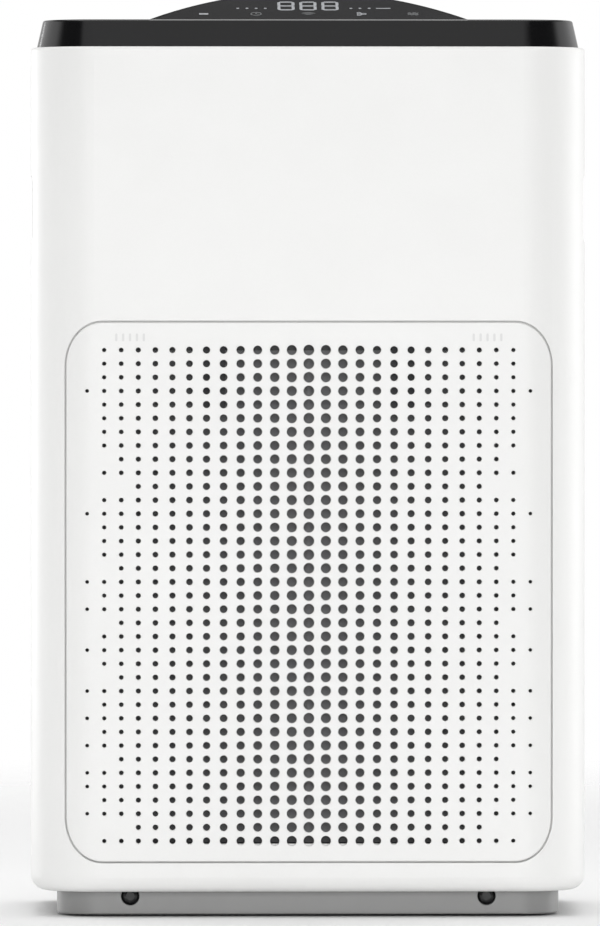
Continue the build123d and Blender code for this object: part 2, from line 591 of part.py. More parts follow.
def motor_screws():
    """The screws through the motor's ears."""
    screws = []
    for x, z in motor_screw_places():
        head = rod_y(x, z, 4.0, SCROLL_Y1 + 6, SCROLL_Y1 + 8.5)
        head -= along_y(Pos(x, z) * (Rectangle(4.4, 1) + Rectangle(1, 4.4)), SCROLL_Y1 + 7.4, SCROLL_Y1 + 9)
        screws.append(head + rod_y(x, z, 2.0, SCROLL_Y1 - 2.0, SCROLL_Y1 + 6.2))
    return Compound(screws)


def outlet_duct():
    """The duct that widens from the scroll's mouth to the grille."""
    left = tongue_x() - SCROLL_WALL
    right = FAN_X + SPIRAL_STEP / 2 + SPIRAL_R + 3 * SPIRAL_STEP + SCROLL_WALL
    low, high, wall = SCROLL_TOP, COLLAR_TOP - GRILLE_DROP, 2.0
    top_half, top_y0, top_y1 = GRILLE_HALF - 5, GRILLE_Y0 + 5, GRILLE_Y1 - 5

    def flare(inset, z0, z1):
        share = (z1 - low) / (high - low), (z0 - low) / (high - low)

        def section(t):
            x0, x1 = left + (-top_half - left) * t, right + (top_half - right) * t
            y0, y1 = BAY_BACK_Y + (top_y0 - BAY_BACK_Y) * t, SCROLL_Y1 + (top_y1 - SCROLL_Y1) * t
            plan = Rectangle(x1 - x0 - 2 * inset, y1 - y0 - 2 * inset)
            return Pos((x0 + x1) / 2, (y0 + y1) / 2, low + (high - low) * t) * plan

        return loft([section(share[1]), section(share[0])])

    return flare(0, low, high) - flare(wall, low - 5, high + 5)


# ---- black top ----
def arch(lower, z_floor):
    """The console's cross-section: a wide arc on each side, a tighter shoulder, and a level crest."""
    shift = HUMP_R - lower
    foot = math.degrees(math.acos((COLLAR_TOP - HUMP_CENTRE_Z) / shift))

    def on(side, radius, x, z, degrees):
        turn = math.radians(degrees)
        return side * (x + radius * math.sin(turn)), z + radius * math.cos(turn)

    lines = []
    for side in (-1, 1):
        wide = [on(side, shift, 0, HUMP_CENTRE_Z, d) for d in (foot, (foot + SHOULDER_DEG) / 2, SHOULDER_DEG)]
        turns = (SHOULDER_DEG, SHOULDER_DEG / 2, 0)
        tight = [on(side, SHOULDER_R - lower, SHOULDER_X, SHOULDER_Z, d) for d in turns]
        lines += [ThreePointArc(*wide), ThreePointArc(*tight)]
        lines.append(Line(wide[0], (wide[0][0], z_floor)))
    half, crest = side * wide[0][0], tight[-1]
    lines += [Line((-crest[0], crest[1]), crest), Line((-half, z_floor), (half, z_floor))]
    return make_face(lines)


def hump(lower, z_floor):
    """The raised control console, its surfaces lowered by lower: a wedge cut to an arch. Lowered, it
    starts behind the collar's front wall."""
    rise = math.tan(math.radians(SLOPE_DEG))
    front = HUMP_FRONT_Y + lower / rise
    start = HUMP_FRONT_Y + (WALL + 0.2 if lower else 0)
    back_foot = RIDGE_Y + RIDGE_DEPTH + HUMP_RISE / math.tan(math.radians(HUMP_BACK_DEG)) - lower * 1.2
    wedge = Polyline(
        (start, z_floor),
        (start, COLLAR_TOP + (start - front) * rise),
        (RIDGE_Y, HUMP_TOP - lower),
        (RIDGE_Y + RIDGE_DEPTH - lower * 0.4, HUMP_TOP - lower),
        (back_foot, COLLAR_TOP),
        (back_foot, z_floor),
        close=True,
    )
    return along_x(make_face(wedge), -120, 120) & along_y(arch(lower, z_floor), -120, 20)


def slope_plane():
    """The console's sloping face: x across, y up the slope from its front edge."""
    tilt = math.radians(SLOPE_DEG)
    return Plane(
        origin=(0, HUMP_FRONT_Y, COLLAR_TOP), x_dir=(1, 0, 0), z_dir=(0, -math.sin(tilt), math.cos(tilt))
    )


def lens_plan(inset):
    """The display lens's outline on the slope: the slope's own arched outline set in, its corners rounded."""
    low, high = inset + 0.8, SLOPE_LENGTH - inset - 1.6
    side = []
    for up in (low, (low + high) / 2, high):
        z = COLLAR_TOP + up * math.sin(math.radians(SLOPE_DEG))
        if z > HUMP_CENTRE_Z + HUMP_R * math.cos(math.radians(SHOULDER_DEG)):
            half = SHOULDER_X + math.sqrt(SHOULDER_R**2 - (z - SHOULDER_Z) ** 2)
        else:
            half = math.sqrt(HUMP_R**2 - (z - HUMP_CENTRE_Z) ** 2)
        side.append((half - 1.4 * inset - 3, up))
    right, left = ThreePointArc(*side), ThreePointArc(*[(-x, up) for x, up in side])
    plan = make_face([right, left, Line(left @ 0, right @ 0), Line(left @ 1, right @ 1)])
    return fillet(plan.vertices(), 2.0)


def grille_plan(grow):
    """The outlet's rounded plan."""
    middle = Pos(0, (GRILLE_Y0 + GRILLE_Y1) / 2)
    return middle * RectangleRounded(
        2 * (GRILLE_HALF + grow), GRILLE_Y1 - GRILLE_Y0 + 2 * grow, GRILLE_R + grow
    )


def top_bezel():
    """The black collar and deck with the raised console, open under the lens and at the outlet."""
    base = Pos(0, 0, BODY_TOP) * outline(COLLAR_INSET)
    solid = extrude(base, COLLAR_H, taper=COLLAR_TAPER)
    solid = fillet(solid.faces().sort_by(Axis.Z)[-1].edges(), 1.6)
    room = Pos(0, 0, BODY_TOP - 1) * outline(COLLAR_INSET + WALL)
    room = extrude(room, COLLAR_H + 1 - DECK_T, taper=COLLAR_TAPER)
    solid += hump(0, COLLAR_TOP - 3)
    solid -= room
    solid -= hump(2.8, COLLAR_TOP - 6)
    solid -= column(grille_plan(0.4), BODY_TOP, COLLAR_TOP + 1)
    rebate = column(grille_plan(4.0) - grille_plan(0.2), COLLAR_TOP - 1.6, COLLAR_TOP + 0.5)
    solid -= rebate
    slope = slope_plane()
    solid -= extrude(slope * lens_plan(0), -1.3) + extrude(slope * lens_plan(0), 3)
    solid -= extrude(slope * lens_plan(5.0), -8)
    skirt = column(outline(12.4), BODY_TOP - 7, BODY_TOP) - column(outline(14.4), BODY_TOP - 8, BODY_TOP + 1)
    rail = column(outline(COLLAR_INSET + 1), BODY_TOP, BODY_TOP + 2)
    rail -= column(outline(14.4), BODY_TOP - 1, BODY_TOP + 3)
    return solid + skirt + rail


def outlet_grille():
    """The outlet's grille: a rim that drops into the deck, long slats and cross ribs."""
    top, foot = COLLAR_TOP - 0.1, COLLAR_TOP - GRILLE_DROP
    rim = column(grille_plan(3.8), top - 1.4, top) + column(grille_plan(0.1), foot, top)
    rim -= column(grille_plan(-3.0), foot + 1.5, top + 1) + column(grille_plan(-7.0), foot - 1, top)
    slats = []
    pitch, count = 6.1, 18
    middle_y = (GRILLE_Y0 + GRILLE_Y1) / 2
    for k in range(count):
        y = middle_y + (k - (count - 1) / 2) * pitch
        slat = Pos(y, top - 5.2) * Rot(0, 0, 25) * Rectangle(1.5, 8.0)
        slats.append(along_x(slat, -GRILLE_HALF + 1, GRILLE_HALF - 1))
    ribs = [
        block(x - 0.9, x + 0.9, GRILLE_Y0 + 1, GRILLE_Y1 - 1, foot, top - 2.6) for x in (-98, -49, 0, 49, 98)
    ]
    inside = column(grille_plan(-1.0), foot, top - 0.2)
    bars = slats[0] + slats[1:]
    bars = (bars + ribs) & inside
    return rim + bars


def on_slope(sketch, low, high):
    """A sketch on the console's slope, raised from low to high off its surface."""
    return extrude(slope_plane().offset(low) * sketch, high - low)


def display_lens():
    """The smoked lens that fills the console's slope."""
    return on_slope(lens_plan(0.12), -LENS_T, 0.0)


def digit_segments(height):
    """The seven bars of one figure, centred, as sketches."""
    width, bar, gap = height * 0.6, height * 0.1, height * 0.02
    across, upright = width - bar - 2 * gap, (height - bar) / 2 - 2 * gap
    bars = [Pos(0, z * (height - bar) / 2) * Rectangle(across, bar) for z in (-1, 0, 1)]
    for x in (-1, 1):
        for z in (-1, 1):
            bars.append(Pos(x * (width - bar) / 2, z * (height - bar) / 4) * Rectangle(bar, upright))
    return bars


def led_digits():
    """Three seven-bar figures, drawn on the lens."""
    solids = []
    for k in (-1, 0, 1):
        for bar in digit_segments(17.5):
            solids.append(on_slope(Pos(k * 13.5, 26.9) * bar, 0.0, 0.15))
    return Compound(solids)


def indicator_marks():
    """The small lit dots and dash beside the figures."""
    marks = [Pos(x, 22) * Circle(0.9) for x in (-43, -37.4, -31.8, -26.2, 26.2, 31.8, 37.4)]
    marks.append(Pos(46, 22) * SlotOverall(9, 1.1))
    return Compound([on_slope(m, 0.0, 0.15) for m in marks])


def touch_icons():
    """The rings of the five touch keys."""
    ring = Circle(3.4) - Circle(2.8)
    return Compound([on_slope(Pos(x, 10.8) * ring, 0.0, 0.15) for x in (-64, -32, 0, 32, 64)])


def control_board():
    """The circuit board under the lens."""
    board = on_slope(Pos(0, 22) * Rectangle(142, 26), -9.6, -8.0)
    return board & hump(3.0, COLLAR_TOP - 14)


def display_module():
    """The three-figure display block on the board."""
    return on_slope(Pos(0, 26.9) * Rectangle(46, 19), -8.0, -LENS_T)


def touch_springs():
    """The coil contacts that carry each touch key through the lens."""
    pads = []
    for x in (-64, -32, 0, 32, 64):
        ring = Pos(x, 12.2) * (Circle(2.6) - Circle(1.9))
        pads.append(on_slope(ring, -8.0, -LENS_T))
    return Compound(pads)


# ---- back ----
def power_inlet():
    """The two-pin mains inlet: a flanged cup let into the back."""
    cup = along_y(Pos(INLET_X, INLET_Z) * RectangleRounded(24, 16, 2.8), BACK_Y - 21, BACK_Y - 0.2)
    flange = along_y(Pos(INLET_X, INLET_Z) * RectangleRounded(32, 22, 3), BACK_Y - 6, BACK_Y - WALL - 0.05)
    mouth = Pos(INLET_X, INLET_Z) * SlotCenterToCenter(PIN_SPACING, 9.0)
    cup = cup + flange - along_y(mouth, BACK_Y - 14, BACK_Y + 1)
    for x in (INLET_X - PIN_SPACING / 2, INLET_X + PIN_SPACING / 2):
        cup -= rod_y(x, INLET_Z, 1.25, BACK_Y - 25, BACK_Y - 12)
    return cup


def inlet_pins():
    """The inlet's two contact pins."""
    places = (INLET_X - PIN_SPACING / 2, INLET_X + PIN_SPACING / 2)
    return Compound([rod_y(x, INLET_Z, 1.2, BACK_Y - 26, BACK_Y - 4.5) for x in places])


def sensor_door():
    """The slotted flap over the dust sensor, its lower edge rounded about its hinge pins."""
    pivot_y, pivot_z = DOOR_PIVOT_Y, DOOR_PIVOT_Z
    profile = Pos(BACK_Y - DOOR_T / 2, pivot_z + (DOOR_H - DOOR_T) / 2) * Rectangle(DOOR_T, DOOR_H - DOOR_T)
    profile += (Pos(pivot_y, pivot_z) * Circle(DOOR_T)) & (
        Pos(pivot_y + DOOR_T / 2, pivot_z - DOOR_T / 2) * Rectangle(DOOR_T, DOOR_T)
    )
    door = along_x(profile, DOOR_X - DOOR_W / 2, DOOR_X + DOOR_W / 2)
    for k in range(7):
        slot = Pos(DOOR_X + (k - 3) * 6, DOOR_Z0 + 25) * SlotOverall(26, 2.4, rotation=90)
        door -= along_y(slot, BACK_Y - 8, BACK_Y + 1)
    door -= rod_x(BACK_Y + 1.0, DOOR_Z0 + DOOR_H + 0.8, 3.0, DOOR_X - 8, DOOR_X + 8)
    for side in (-1, 1):
        x = DOOR_X + side * (DOOR_W / 2 - 5)
        ear = Pos(pivot_y, pivot_z) * Circle(1.9) + Pos(pivot_y + 0.5, pivot_z + 3) * Rectangle(3.0, 6)
        door += along_x(ear, x - 1.5, x + 1.5)
        door += rod_x(pivot_y, pivot_z, 1.2, min(x, x + side * 8), max(x, x + side * 8))
    return door


def sensor_bracket():
    """The frame that holds the flap's pins and the dust sensor behind it."""
    y1 = BACK_Y - WALL
    half, top = DOOR_W / 2, DOOR_Z0 + DOOR_H
    x0, x1 = DOOR_X - half - 8, DOOR_X + half + 8
    ring = block(x0, x1, y1 - 2.4, y1, DOOR_Z0 - 8, top + 8)
    ring -= block(DOOR_X - half - 0.6, DOOR_X + half + 0.6, y1 - 5, y1 + 1, DOOR_Z0 - 2.5, top + 0.6)
    for side in (-1, 1):
        x = DOOR_X + side * (DOOR_W / 2 + 1.6)
        ear = Pos(DOOR_PIVOT_Y - 1.4, DOOR_PIVOT_Z) * Rectangle(2.6, 6.2)
        ring += along_x(ear, x - 0.9, x + 0.9)
        for z in (14, 26):
            ring += rod_y(DOOR_X + side * 37, DOOR_Z0 + z, 2.4, BACK_Y - 16, y1 - 1)
    return ring - rod_x(DOOR_PIVOT_Y, DOOR_PIVOT_Z, 1.26, x0 - 1, x1 + 1)


def dust_sensor():
    """The dust sensor's flat box, with its air inlet facing the flap."""
    y0, y1 = BACK_Y - 24, BACK_Y - 8
    box = block(DOOR_X - 24, DOOR_X + 24, y0, y1, DOOR_Z0 + 4, DOOR_Z0 + 42)
    box -= rod_y(DOOR_X, DOOR_Z0 + 24, 5, y1 - 6, y1 + 1)
    for side in (-1, 1):
        middle = DOOR_X + side * 33
        box += block(middle - 9.5, middle + 9.5, y0 + 6, y0 + 8, DOOR_Z0 + 10, DOOR_Z0 + 30)
    return box


def power_board():
    """The power supply's circuit board, beside the scroll."""
    return block(88, 158, BOARD_Y, BOARD_Y + BOARD_T, 88, 188)


def board_parts():
    """The larger parts on the power board: transformer, capacitors and a heat sink."""
    face = BOARD_Y + BOARD_T
    parts = [
        block(96, 122, face, 90, 96, 120),
        rod_y(138, 104, 7, face, 88),
        rod_y(138, 124, 7, face, 88),
        block(96, 116, face, 78, 132, 148),
        rod_y(128, 142, 5, face, 80),
    ]
    sink = block(98, 148, face, face + 2.4, 158, 178)
    for k in range(7):
        sink += block(99 + 7.6 * k, 101 + 7.6 * k, face + 1, 84, 158, 178)
    return Compound(parts + [sink])


def lead(points, bend, radius):
    """A round lead along points, with its corners bent to the same radius."""
    path = FilletPolyline(*points, radius=bend)
    return sweep(Plane(origin=path @ 0, z_dir=path % 0) * Circle(radius), path=path)


def motor_lead():
    """The motor's lead, from its back cap to the power board's edge."""
    start_x, board_mid = FAN_X + 25, BOARD_Y + BOARD_T / 2
    points = [(start_x, MOTOR_Y1, 199), (start_x, 72, 199), (60, board_mid, 150), (88, board_mid, 150)]
    return lead(points, 6, 2.0)


def display_lead():
    """The lead from the control board, round the right handle cup, down to the power board."""
    points = [
        (60, -70, 541.5),
        (60, -70, 524),
        (148, -82, 518),
        (150, -84, 405),
        (150, 30, 405),
        (150, 30, 172),
        (150, BOARD_Y, 172),
    ]
    return lead(points, 9, 1.8)


def mains_leads():
    """The two leads from the inlet's pins to the power board's lower edge."""
    leads = []
    for side in (-1, 1):
        x = INLET_X + side * PIN_SPACING / 2
        middle = BOARD_Y + BOARD_T / 2
        leads.append(lead([(x, BACK_Y - 26, INLET_Z), (x, middle, INLET_Z), (x, middle, 88)], 6, 1.1))
    return Compound(leads)


# ---- plinth ----
def plinth():
    """The grey base: a skirt set in from the casing, with a floor and two round front pockets."""
    solid = column(outline(PLINTH_INSET), PLINTH_BOTTOM, BODY_BOTTOM)
    solid = chamfer(solid.faces().sort_by(Axis.Z)[0].edges(), 0.8)
    solid -= column(outline(PLINTH_INSET + PLINTH_WALL), PLINTH_BOTTOM + 2.6, BODY_BOTTOM + 1)
    front = FRONT_Y + PLINTH_INSET
    for side in (-1, 1):
        solid += rod_y(side * CAP_X, CAP_Z, CAP_R + 1.6, front + 0.5, front + 7) & block(
            -200, 200, -100, 0, 2, BODY_BOTTOM
        )
        solid -= rod_y(side * CAP_X, CAP_Z, CAP_R, front - 1, front + 5)
    for x in (-FOOT_X, FOOT_X):
        for y in (-FOOT_Y, FOOT_Y):
            solid -= rod_z(x, y, FOOT_R + 0.2, 0, PLINTH_BOTTOM + 1.2)
    for x, y in base_screw_places():
        solid += rod_z(x, y, 6.5, PLINTH_BOTTOM + 1, BODY_BOTTOM)
        solid -= rod_z(x, y, 4.6, 0, BASE_HEAD_Z) + rod_z(x, y, 2.3, 0, BODY_BOTTOM + 1)
    return solid


def base_screw_places():
    """The screws between plinth and casing, as (x, y)."""
    return [(x, y) for x in (-80, 80) for y in (-60, 0, 52)]


def front_caps():
    """The two glossy domed caps in the plinth's front pockets."""
    front = FRONT_Y + PLINTH_INSET
    caps = []
    for side in (-1, 1):
        drum = rod_y(side * CAP_X, CAP_Z, CAP_R - 0.3, front + 0.6, front + 5)
        dome = Pos(side * CAP_X, front + 9.2, CAP_Z) * Sphere(9.0)
        caps.append((drum & dome) & block(-200, 200, -100, 0, 0, BODY_BOTTOM - 0.05))
    return Compound(caps)


def rubber_feet():
    """The four rubber pads that the purifier stands on."""
    feet = []
    for x in (-FOOT_X, FOOT_X):
        for y in (-FOOT_Y, FOOT_Y):
            pad = rod_z(x, y, FOOT_R, 0, PLINTH_BOTTOM + 1.2)
            feet.append(chamfer(pad.edges().sort_by(Axis.Z)[0], 0.5))
    return Compound(feet)


def base_screws():
    """The screws that hold the plinth to the casing's floor."""
    screws = []
    for x, y in base_screw_places():
        head = rod_z(x, y, 4.0, BASE_HEAD_Z - 2.4, BASE_HEAD_Z)
        slot = Pos(x, y) * (Rectangle(4.4, 1) + Rectangle(1, 4.4))
        head -= column(slot, BASE_HEAD_Z - 3, BASE_HEAD_Z - 1.2)
        screws.append(head + rod_z(x, y, 2.0, BASE_HEAD_Z - 0.1, BODY_BOTTOM + 11))
    return Compound(screws)


def build():
    """Makes every sub-part and writes it to its own file."""
    shell = casing_shell()
    nodes = {
        "front_housing": front_housing(shell),
        "rear_housing": rear_housing(shell),
        "rear_screws": rear_screws(),
        "left_handle_cup": handle_cup(-1),
        "right_handle_cup": handle_cup(1),
        "front_panel": front_panel(),
        "panel_hooks": panel_hooks(),
        "panel_strikers": panel_strikers(),
        "push_marks": push_marks(),
        "left_latch_case": latch_case(-LATCH_X),
        "right_latch_case": latch_case(LATCH_X),
        "left_latch_plunger": latch_plunger(-LATCH_X),
        "right_latch_plunger": latch_plunger(LATCH_X),
        "left_latch_spring": latch_spring(-LATCH_X),
        "right_latch_spring": latch_spring(LATCH_X),
        "door_switch": door_switch(),
        "switch_plunger": switch_plunger(),
        "filter_bay": filter_bay(),
        "filter_seal": filter_seal(),
        "filter_frame": filter_frame(),
        "pre_filter": pre_filter(),
        "pleated_filter": pleated_filter(),
        "carbon_filter": carbon_filter(),
        "pull_tabs": pull_tabs(),
        "inlet_guard": inlet_guard(),
        "scroll_housing": scroll_housing(),
        "scroll_cover": scroll_cover(),
        "fan_wheel": fan_wheel(),
        "motor_shaft": motor_shaft(),
        "wheel_nut": wheel_nut(),
        "rotor_magnet": rotor_magnet(),
        "motor_housing": motor_housing(),
        "stator_core": stator_core(),
        "shaft_bearings": shaft_bearings(),
        "motor_grommets": motor_grommets(),
        "motor_screws": motor_screws(),
        "outlet_duct": outlet_duct(),
        "top_bezel": top_bezel(),
        "outlet_grille": outlet_grille(),
        "display_lens": display_lens(),
        "led_digits": led_digits(),
        "indicator_marks": indicator_marks(),
        "touch_icons": touch_icons(),
        "control_board": control_board(),
        "display_module": display_module(),
        "touch_springs": touch_springs(),
        "power_inlet": power_inlet(),
        "inlet_pins": inlet_pins(),
        "sensor_door": sensor_door(),
        "sensor_bracket": sensor_bracket(),
        "dust_sensor": dust_sensor(),
        "power_board": power_board(),
        "board_parts": board_parts(),
        "motor_lead": motor_lead(),
        "display_lead": display_lead(),
        "mains_leads": mains_leads(),
        "plinth": plinth(),
        "front_caps": front_caps(),
        "rubber_feet": rubber_feet(),
        "base_screws": base_screws(),
    }
    os.makedirs("parts", exist_ok=True)
    for name, shape in nodes.items():
        export_step(shape, f"parts/{name}.step")
        print(name, len(shape.solids()), round(shape.volume))


build()
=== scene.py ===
import json
import math

import bpy
import numpy as np
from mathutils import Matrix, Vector


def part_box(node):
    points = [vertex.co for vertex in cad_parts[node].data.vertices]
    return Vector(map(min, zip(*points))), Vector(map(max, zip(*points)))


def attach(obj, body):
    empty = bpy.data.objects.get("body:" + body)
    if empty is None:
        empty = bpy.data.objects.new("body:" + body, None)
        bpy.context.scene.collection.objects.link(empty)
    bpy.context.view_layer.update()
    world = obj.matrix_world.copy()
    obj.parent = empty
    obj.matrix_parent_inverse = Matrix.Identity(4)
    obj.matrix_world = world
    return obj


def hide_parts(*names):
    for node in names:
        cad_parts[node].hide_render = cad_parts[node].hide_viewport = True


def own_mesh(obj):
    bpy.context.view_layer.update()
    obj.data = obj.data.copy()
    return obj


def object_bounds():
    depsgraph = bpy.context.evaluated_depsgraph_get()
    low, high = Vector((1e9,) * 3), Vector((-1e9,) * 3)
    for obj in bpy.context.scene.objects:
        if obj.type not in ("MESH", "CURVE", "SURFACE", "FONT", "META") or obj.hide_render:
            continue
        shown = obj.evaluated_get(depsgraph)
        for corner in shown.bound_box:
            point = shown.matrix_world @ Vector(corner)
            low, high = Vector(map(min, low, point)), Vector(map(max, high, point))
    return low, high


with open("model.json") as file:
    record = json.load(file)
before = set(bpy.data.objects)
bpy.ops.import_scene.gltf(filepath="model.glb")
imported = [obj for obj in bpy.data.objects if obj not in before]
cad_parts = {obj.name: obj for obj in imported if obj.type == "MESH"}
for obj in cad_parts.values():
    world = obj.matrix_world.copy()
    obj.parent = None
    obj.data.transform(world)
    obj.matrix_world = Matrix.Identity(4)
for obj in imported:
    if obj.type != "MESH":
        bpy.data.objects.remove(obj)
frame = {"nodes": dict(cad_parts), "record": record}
cad_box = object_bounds()

MM = 0.001
NODES = frame["nodes"]

# ---- sizes that the looks need, in millimetres unless named otherwise ----
CORNER_R = 39.0                    # the casing's plan corners

PANEL_THICKNESS = 3.0
PANEL_CORNER = (22.0, 26.8)        # the panel's corners are quarter ellipses: half width, half height
EDGE_R, BACK_BEVEL = 1.0, 1.2      # the rounding of the panel's front edge and the bevel of its back one
HOLE_PITCH = (10.4, 8.32)
HOLE_ROWS, HOLE_SIDE = 37, 13      # rows, and the most holes each side of the middle one
# A hole's width: in the middle column, what it loses with each column outwards, and what it wins
# back with the square of the column's number.
HOLE_WIDTH = (6.45, 0.38, 0.004)
HOLE_RIM, RIM_SHARE = 0.35, 0.3    # the rounding of a hole's front edge, and the most share of its radius
CELL_STEPS = 5                     # steps along each side of a hole's cell
TOP_ROW_Z = 346.6
USUAL_REACH = 12                   # holes to each side of the middle one in a usual row
LONG_ROWS = (4, 13, 18, 20, 23, 26, 28, 30, 32, 33, 35)
SHORT_ROWS = (9, 17, 21, 25, 31)
SHORTEST_ROWS = (11, 36)

SLOPE_DEG = 19.4                   # the console's slope from level
PRINT_THICKNESS = 0.15             # of the figures' CAD node
PRINT_FOOT = 0.02                  # how far every print stands off the lens
FIGURE_WIDTH, FIGURE_BAR = 0.6, 0.105    # of a figure's height
BAR_GAP = 0.1                      # between two bars of a figure, of a bar's width
FIGURE_RISE, FIGURE_BEVEL = 0.13, 0.12
SYMBOL_WIDTH = 6.8
LAMP_LINE, THIN_LINE = 2.6, 0.7    # the widths of the lines in the symbols
# How high a line stands at its edges and along its top, and how wide the bevel between them is.
LINE_EDGE, LINE_RISE, LINE_BEVEL = 0.08, 0.12, 0.06

SPRING_WIRE_R, SPRING_PITCH = 0.35, 2.1
STEPS_A_TURN, STEPS_ROUND_WIRE = 22, 10


# ================= camera =================

CAMERA_DISTANCE = 6.0              # metres in front of the front panel
CAMERA_HEIGHT = 0.355
CAMERA_SIDE = -0.10                # to the left of the object's middle plane
AIM = (-0.0054, 0.2777)            # where the view's middle meets the front plane: x, z
FRAME_HEIGHT = 0.5646              # metres of the front plane that fill the view's height


def add_camera():
    """A long lens in front of the object, a little above its middle and a little to its left."""
    front_y = cad_box[0][1]
    data = bpy.data.cameras.new("camera")
    data.sensor_width = 36.0
    data.lens = data.sensor_width * CAMERA_DISTANCE / FRAME_HEIGHT
    data.clip_start, data.clip_end = 0.1, 60.0
    camera = bpy.data.objects.new("camera", data)
    bpy.context.scene.collection.objects.link(camera)
    camera.location = (CAMERA_SIDE, front_y - CAMERA_DISTANCE, CAMERA_HEIGHT)
    aim = Vector((AIM[0], front_y, AIM[1]))
    camera.rotation_euler = (aim - camera.location).to_track_quat("-Z", "Y").to_euler()
    bpy.context.scene.camera = camera


# ================= node helper =================

class Value:
    """A number that a node gives. An expression on it adds the Math nodes that work it out."""

    def __init__(self, graph, socket):
        self.graph, self.socket = graph, socket

    def math(self, operation, *others, clamp=False):
        settings = {"operation": operation, "use_clamp": clamp}
        return self.graph.node("ShaderNodeMath", settings, [self, *others])

    def __add__(self, other):
        return self.math("ADD", other)

    def __sub__(self, other):
        return self.math("SUBTRACT", other)

    def __mul__(self, other):
        return self.math("MULTIPLY", other)

    def __rsub__(self, other):
        return self.graph.node("ShaderNodeMath", {"operation": "SUBTRACT"}, [other, self])

    __radd__, __rmul__ = __add__, __mul__

    def step(self, low, high):
        """0 below low, 1 above high, smooth between."""
        settings = {"interpolation_type": "SMOOTHSTEP"}
        return self.graph.node("ShaderNodeMapRange", settings, [self, low, high, 0.0, 1.0])


class Graph:
    """The nodes of one material or of the world."""

    def __init__(self, owner):
        owner.use_nodes = True
        self.tree = owner.node_tree
        self.tree.nodes.clear()

    def node(self, kind, settings=None, inputs=(), output=0):
        """Adds a node: its settings first, then its sockets, by order or by name."""
        made = self.tree.nodes.new(kind)
        for name, value in (settings or {}).items():
            setattr(made, name, value)
        pairs = inputs.items() if isinstance(inputs, dict) else enumerate(inputs)
        for key, value in pairs:
            if value is None:
                continue
            if isinstance(value, Value):
                self.tree.links.new(value.socket, made.inputs[key])
            else:
                made.inputs[key].default_value = value
        return Value(self, made.outputs[output] if made.outputs else None)

    def place(self):
        """The point's place on the object, in metres."""
        return self.node("ShaderNodeTexCoord", output=3)

    def split(self, vector):
        """The three numbers of a vector."""
        made = self.node("ShaderNodeSeparateXYZ", inputs=[vector]).socket.node
        return [Value(self, socket) for socket in made.outputs]

    def scaled(self, vector, factors):
        """A vector times three factors."""
        return self.node("ShaderNodeVectorMath", {"operation": "MULTIPLY"}, [vector, factors])

    def noise(self, vector, per_metre, detail=2.0, rough=0.5):
        """Cloudy noise from 0 to 1, with about per_metre lumps in a metre."""
        inputs = {"Vector": vector, "Scale": per_metre, "Detail": detail, "Roughness": rough}
        return self.node("ShaderNodeTexNoise", inputs=inputs)

    def cells(self, vector, per_metre):
        """Distance to the nearest of many strewn points, about per_metre of them in a metre."""
        return self.node("ShaderNodeTexVoronoi", inputs={"Vector": vector, "Scale": per_metre})

    def mix(self, factor, one, two):
        """A colour between two colours."""
        made = self.tree.nodes.new("ShaderNodeMix")
        made.data_type = "RGBA"
        for socket, value in ((made.inputs[0], factor), (made.inputs[6], one), (made.inputs[7], two)):
            if isinstance(value, Value):
                self.tree.links.new(value.socket, socket)
            elif socket is made.inputs[0]:
                socket.default_value = value
            else:
                socket.default_value = (*value, 1.0)
        return Value(self, made.outputs[2])

    def bump(self, height, distance, strength=1.0):
        """A normal bent by a height, where a height of 1 stands for distance in metres."""
        inputs = {"Height": height, "Distance": distance, "Strength": strength}
        return self.node("ShaderNodeBump", inputs=inputs)


def material(name, base, roughness, normal=None, **constants):
    """A Principled material. base, roughness and normal may be functions of the graph and the place."""
    made = bpy.data.materials.new(name)
    graph = Graph(made)
    place = graph.place()

    def settle(value):
        return value(graph, place) if callable(value) else value

    colour = settle(base)
    inputs = {
        "Base Color": colour if isinstance(colour, Value) else (*colour, 1.0),
        "Roughness": settle(roughness),
        "Normal": settle(normal),
    }
    inputs.update({key: settle(value) for key, value in constants.items()})
    shader = graph.node("ShaderNodeBsdfPrincipled", inputs=inputs)
    graph.node("ShaderNodeOutputMaterial", inputs={"Surface": shader})
    return made


# ================= materials =================

def satin_plastic(name, colour, grain=0.000012, rough=0.42, drift=0.012):
    """Moulded plastic with a fine spark-eroded grain: slow drifts of colour, fine lumps in the surface."""
    darker = tuple(c * (1 - 2 * drift) for c in colour)

    def base(g, p):
        slow = g.noise(p, 9.0, 3.0)
        fine = g.noise(p, 900.0, 2.0)
        return g.mix((slow * 0.7 + fine * 0.3).step(0.3, 0.7), darker, colour)

    def roughness(g, p):
        return g.noise(p, 35.0, 3.0) * 0.1 + (rough - 0.05) + g.noise(p, 1500.0, 1.0) * 0.04

    def normal(g, p):
        return g.bump(g.noise(p, 2600.0, 2.0, 0.6), grain)

    return material(name, base, roughness, normal)


def gloss_black(name, colour, rough):
    """High-gloss black with hair-fine wiping marks and a little dust in its sheen."""
    def base(g, p):
        dust = g.cells(p, 700.0).step(0.10, 0.02) * g.noise(p, 60.0, 2.0).step(0.5, 0.7)
        return g.mix(dust * 0.25, colour, (0.12, 0.12, 0.12))

    def roughness(g, p):
        wiped = g.noise(g.scaled(p, (14.0, 400.0, 400.0)), 6.0, 3.0)
        return wiped * 0.05 + g.noise(p, 25.0, 2.0) * 0.04 + rough

    def normal(g, p):
        return g.bump(g.noise(p, 70.0, 1.0), 0.00002)

    return material(name, base, roughness, normal)


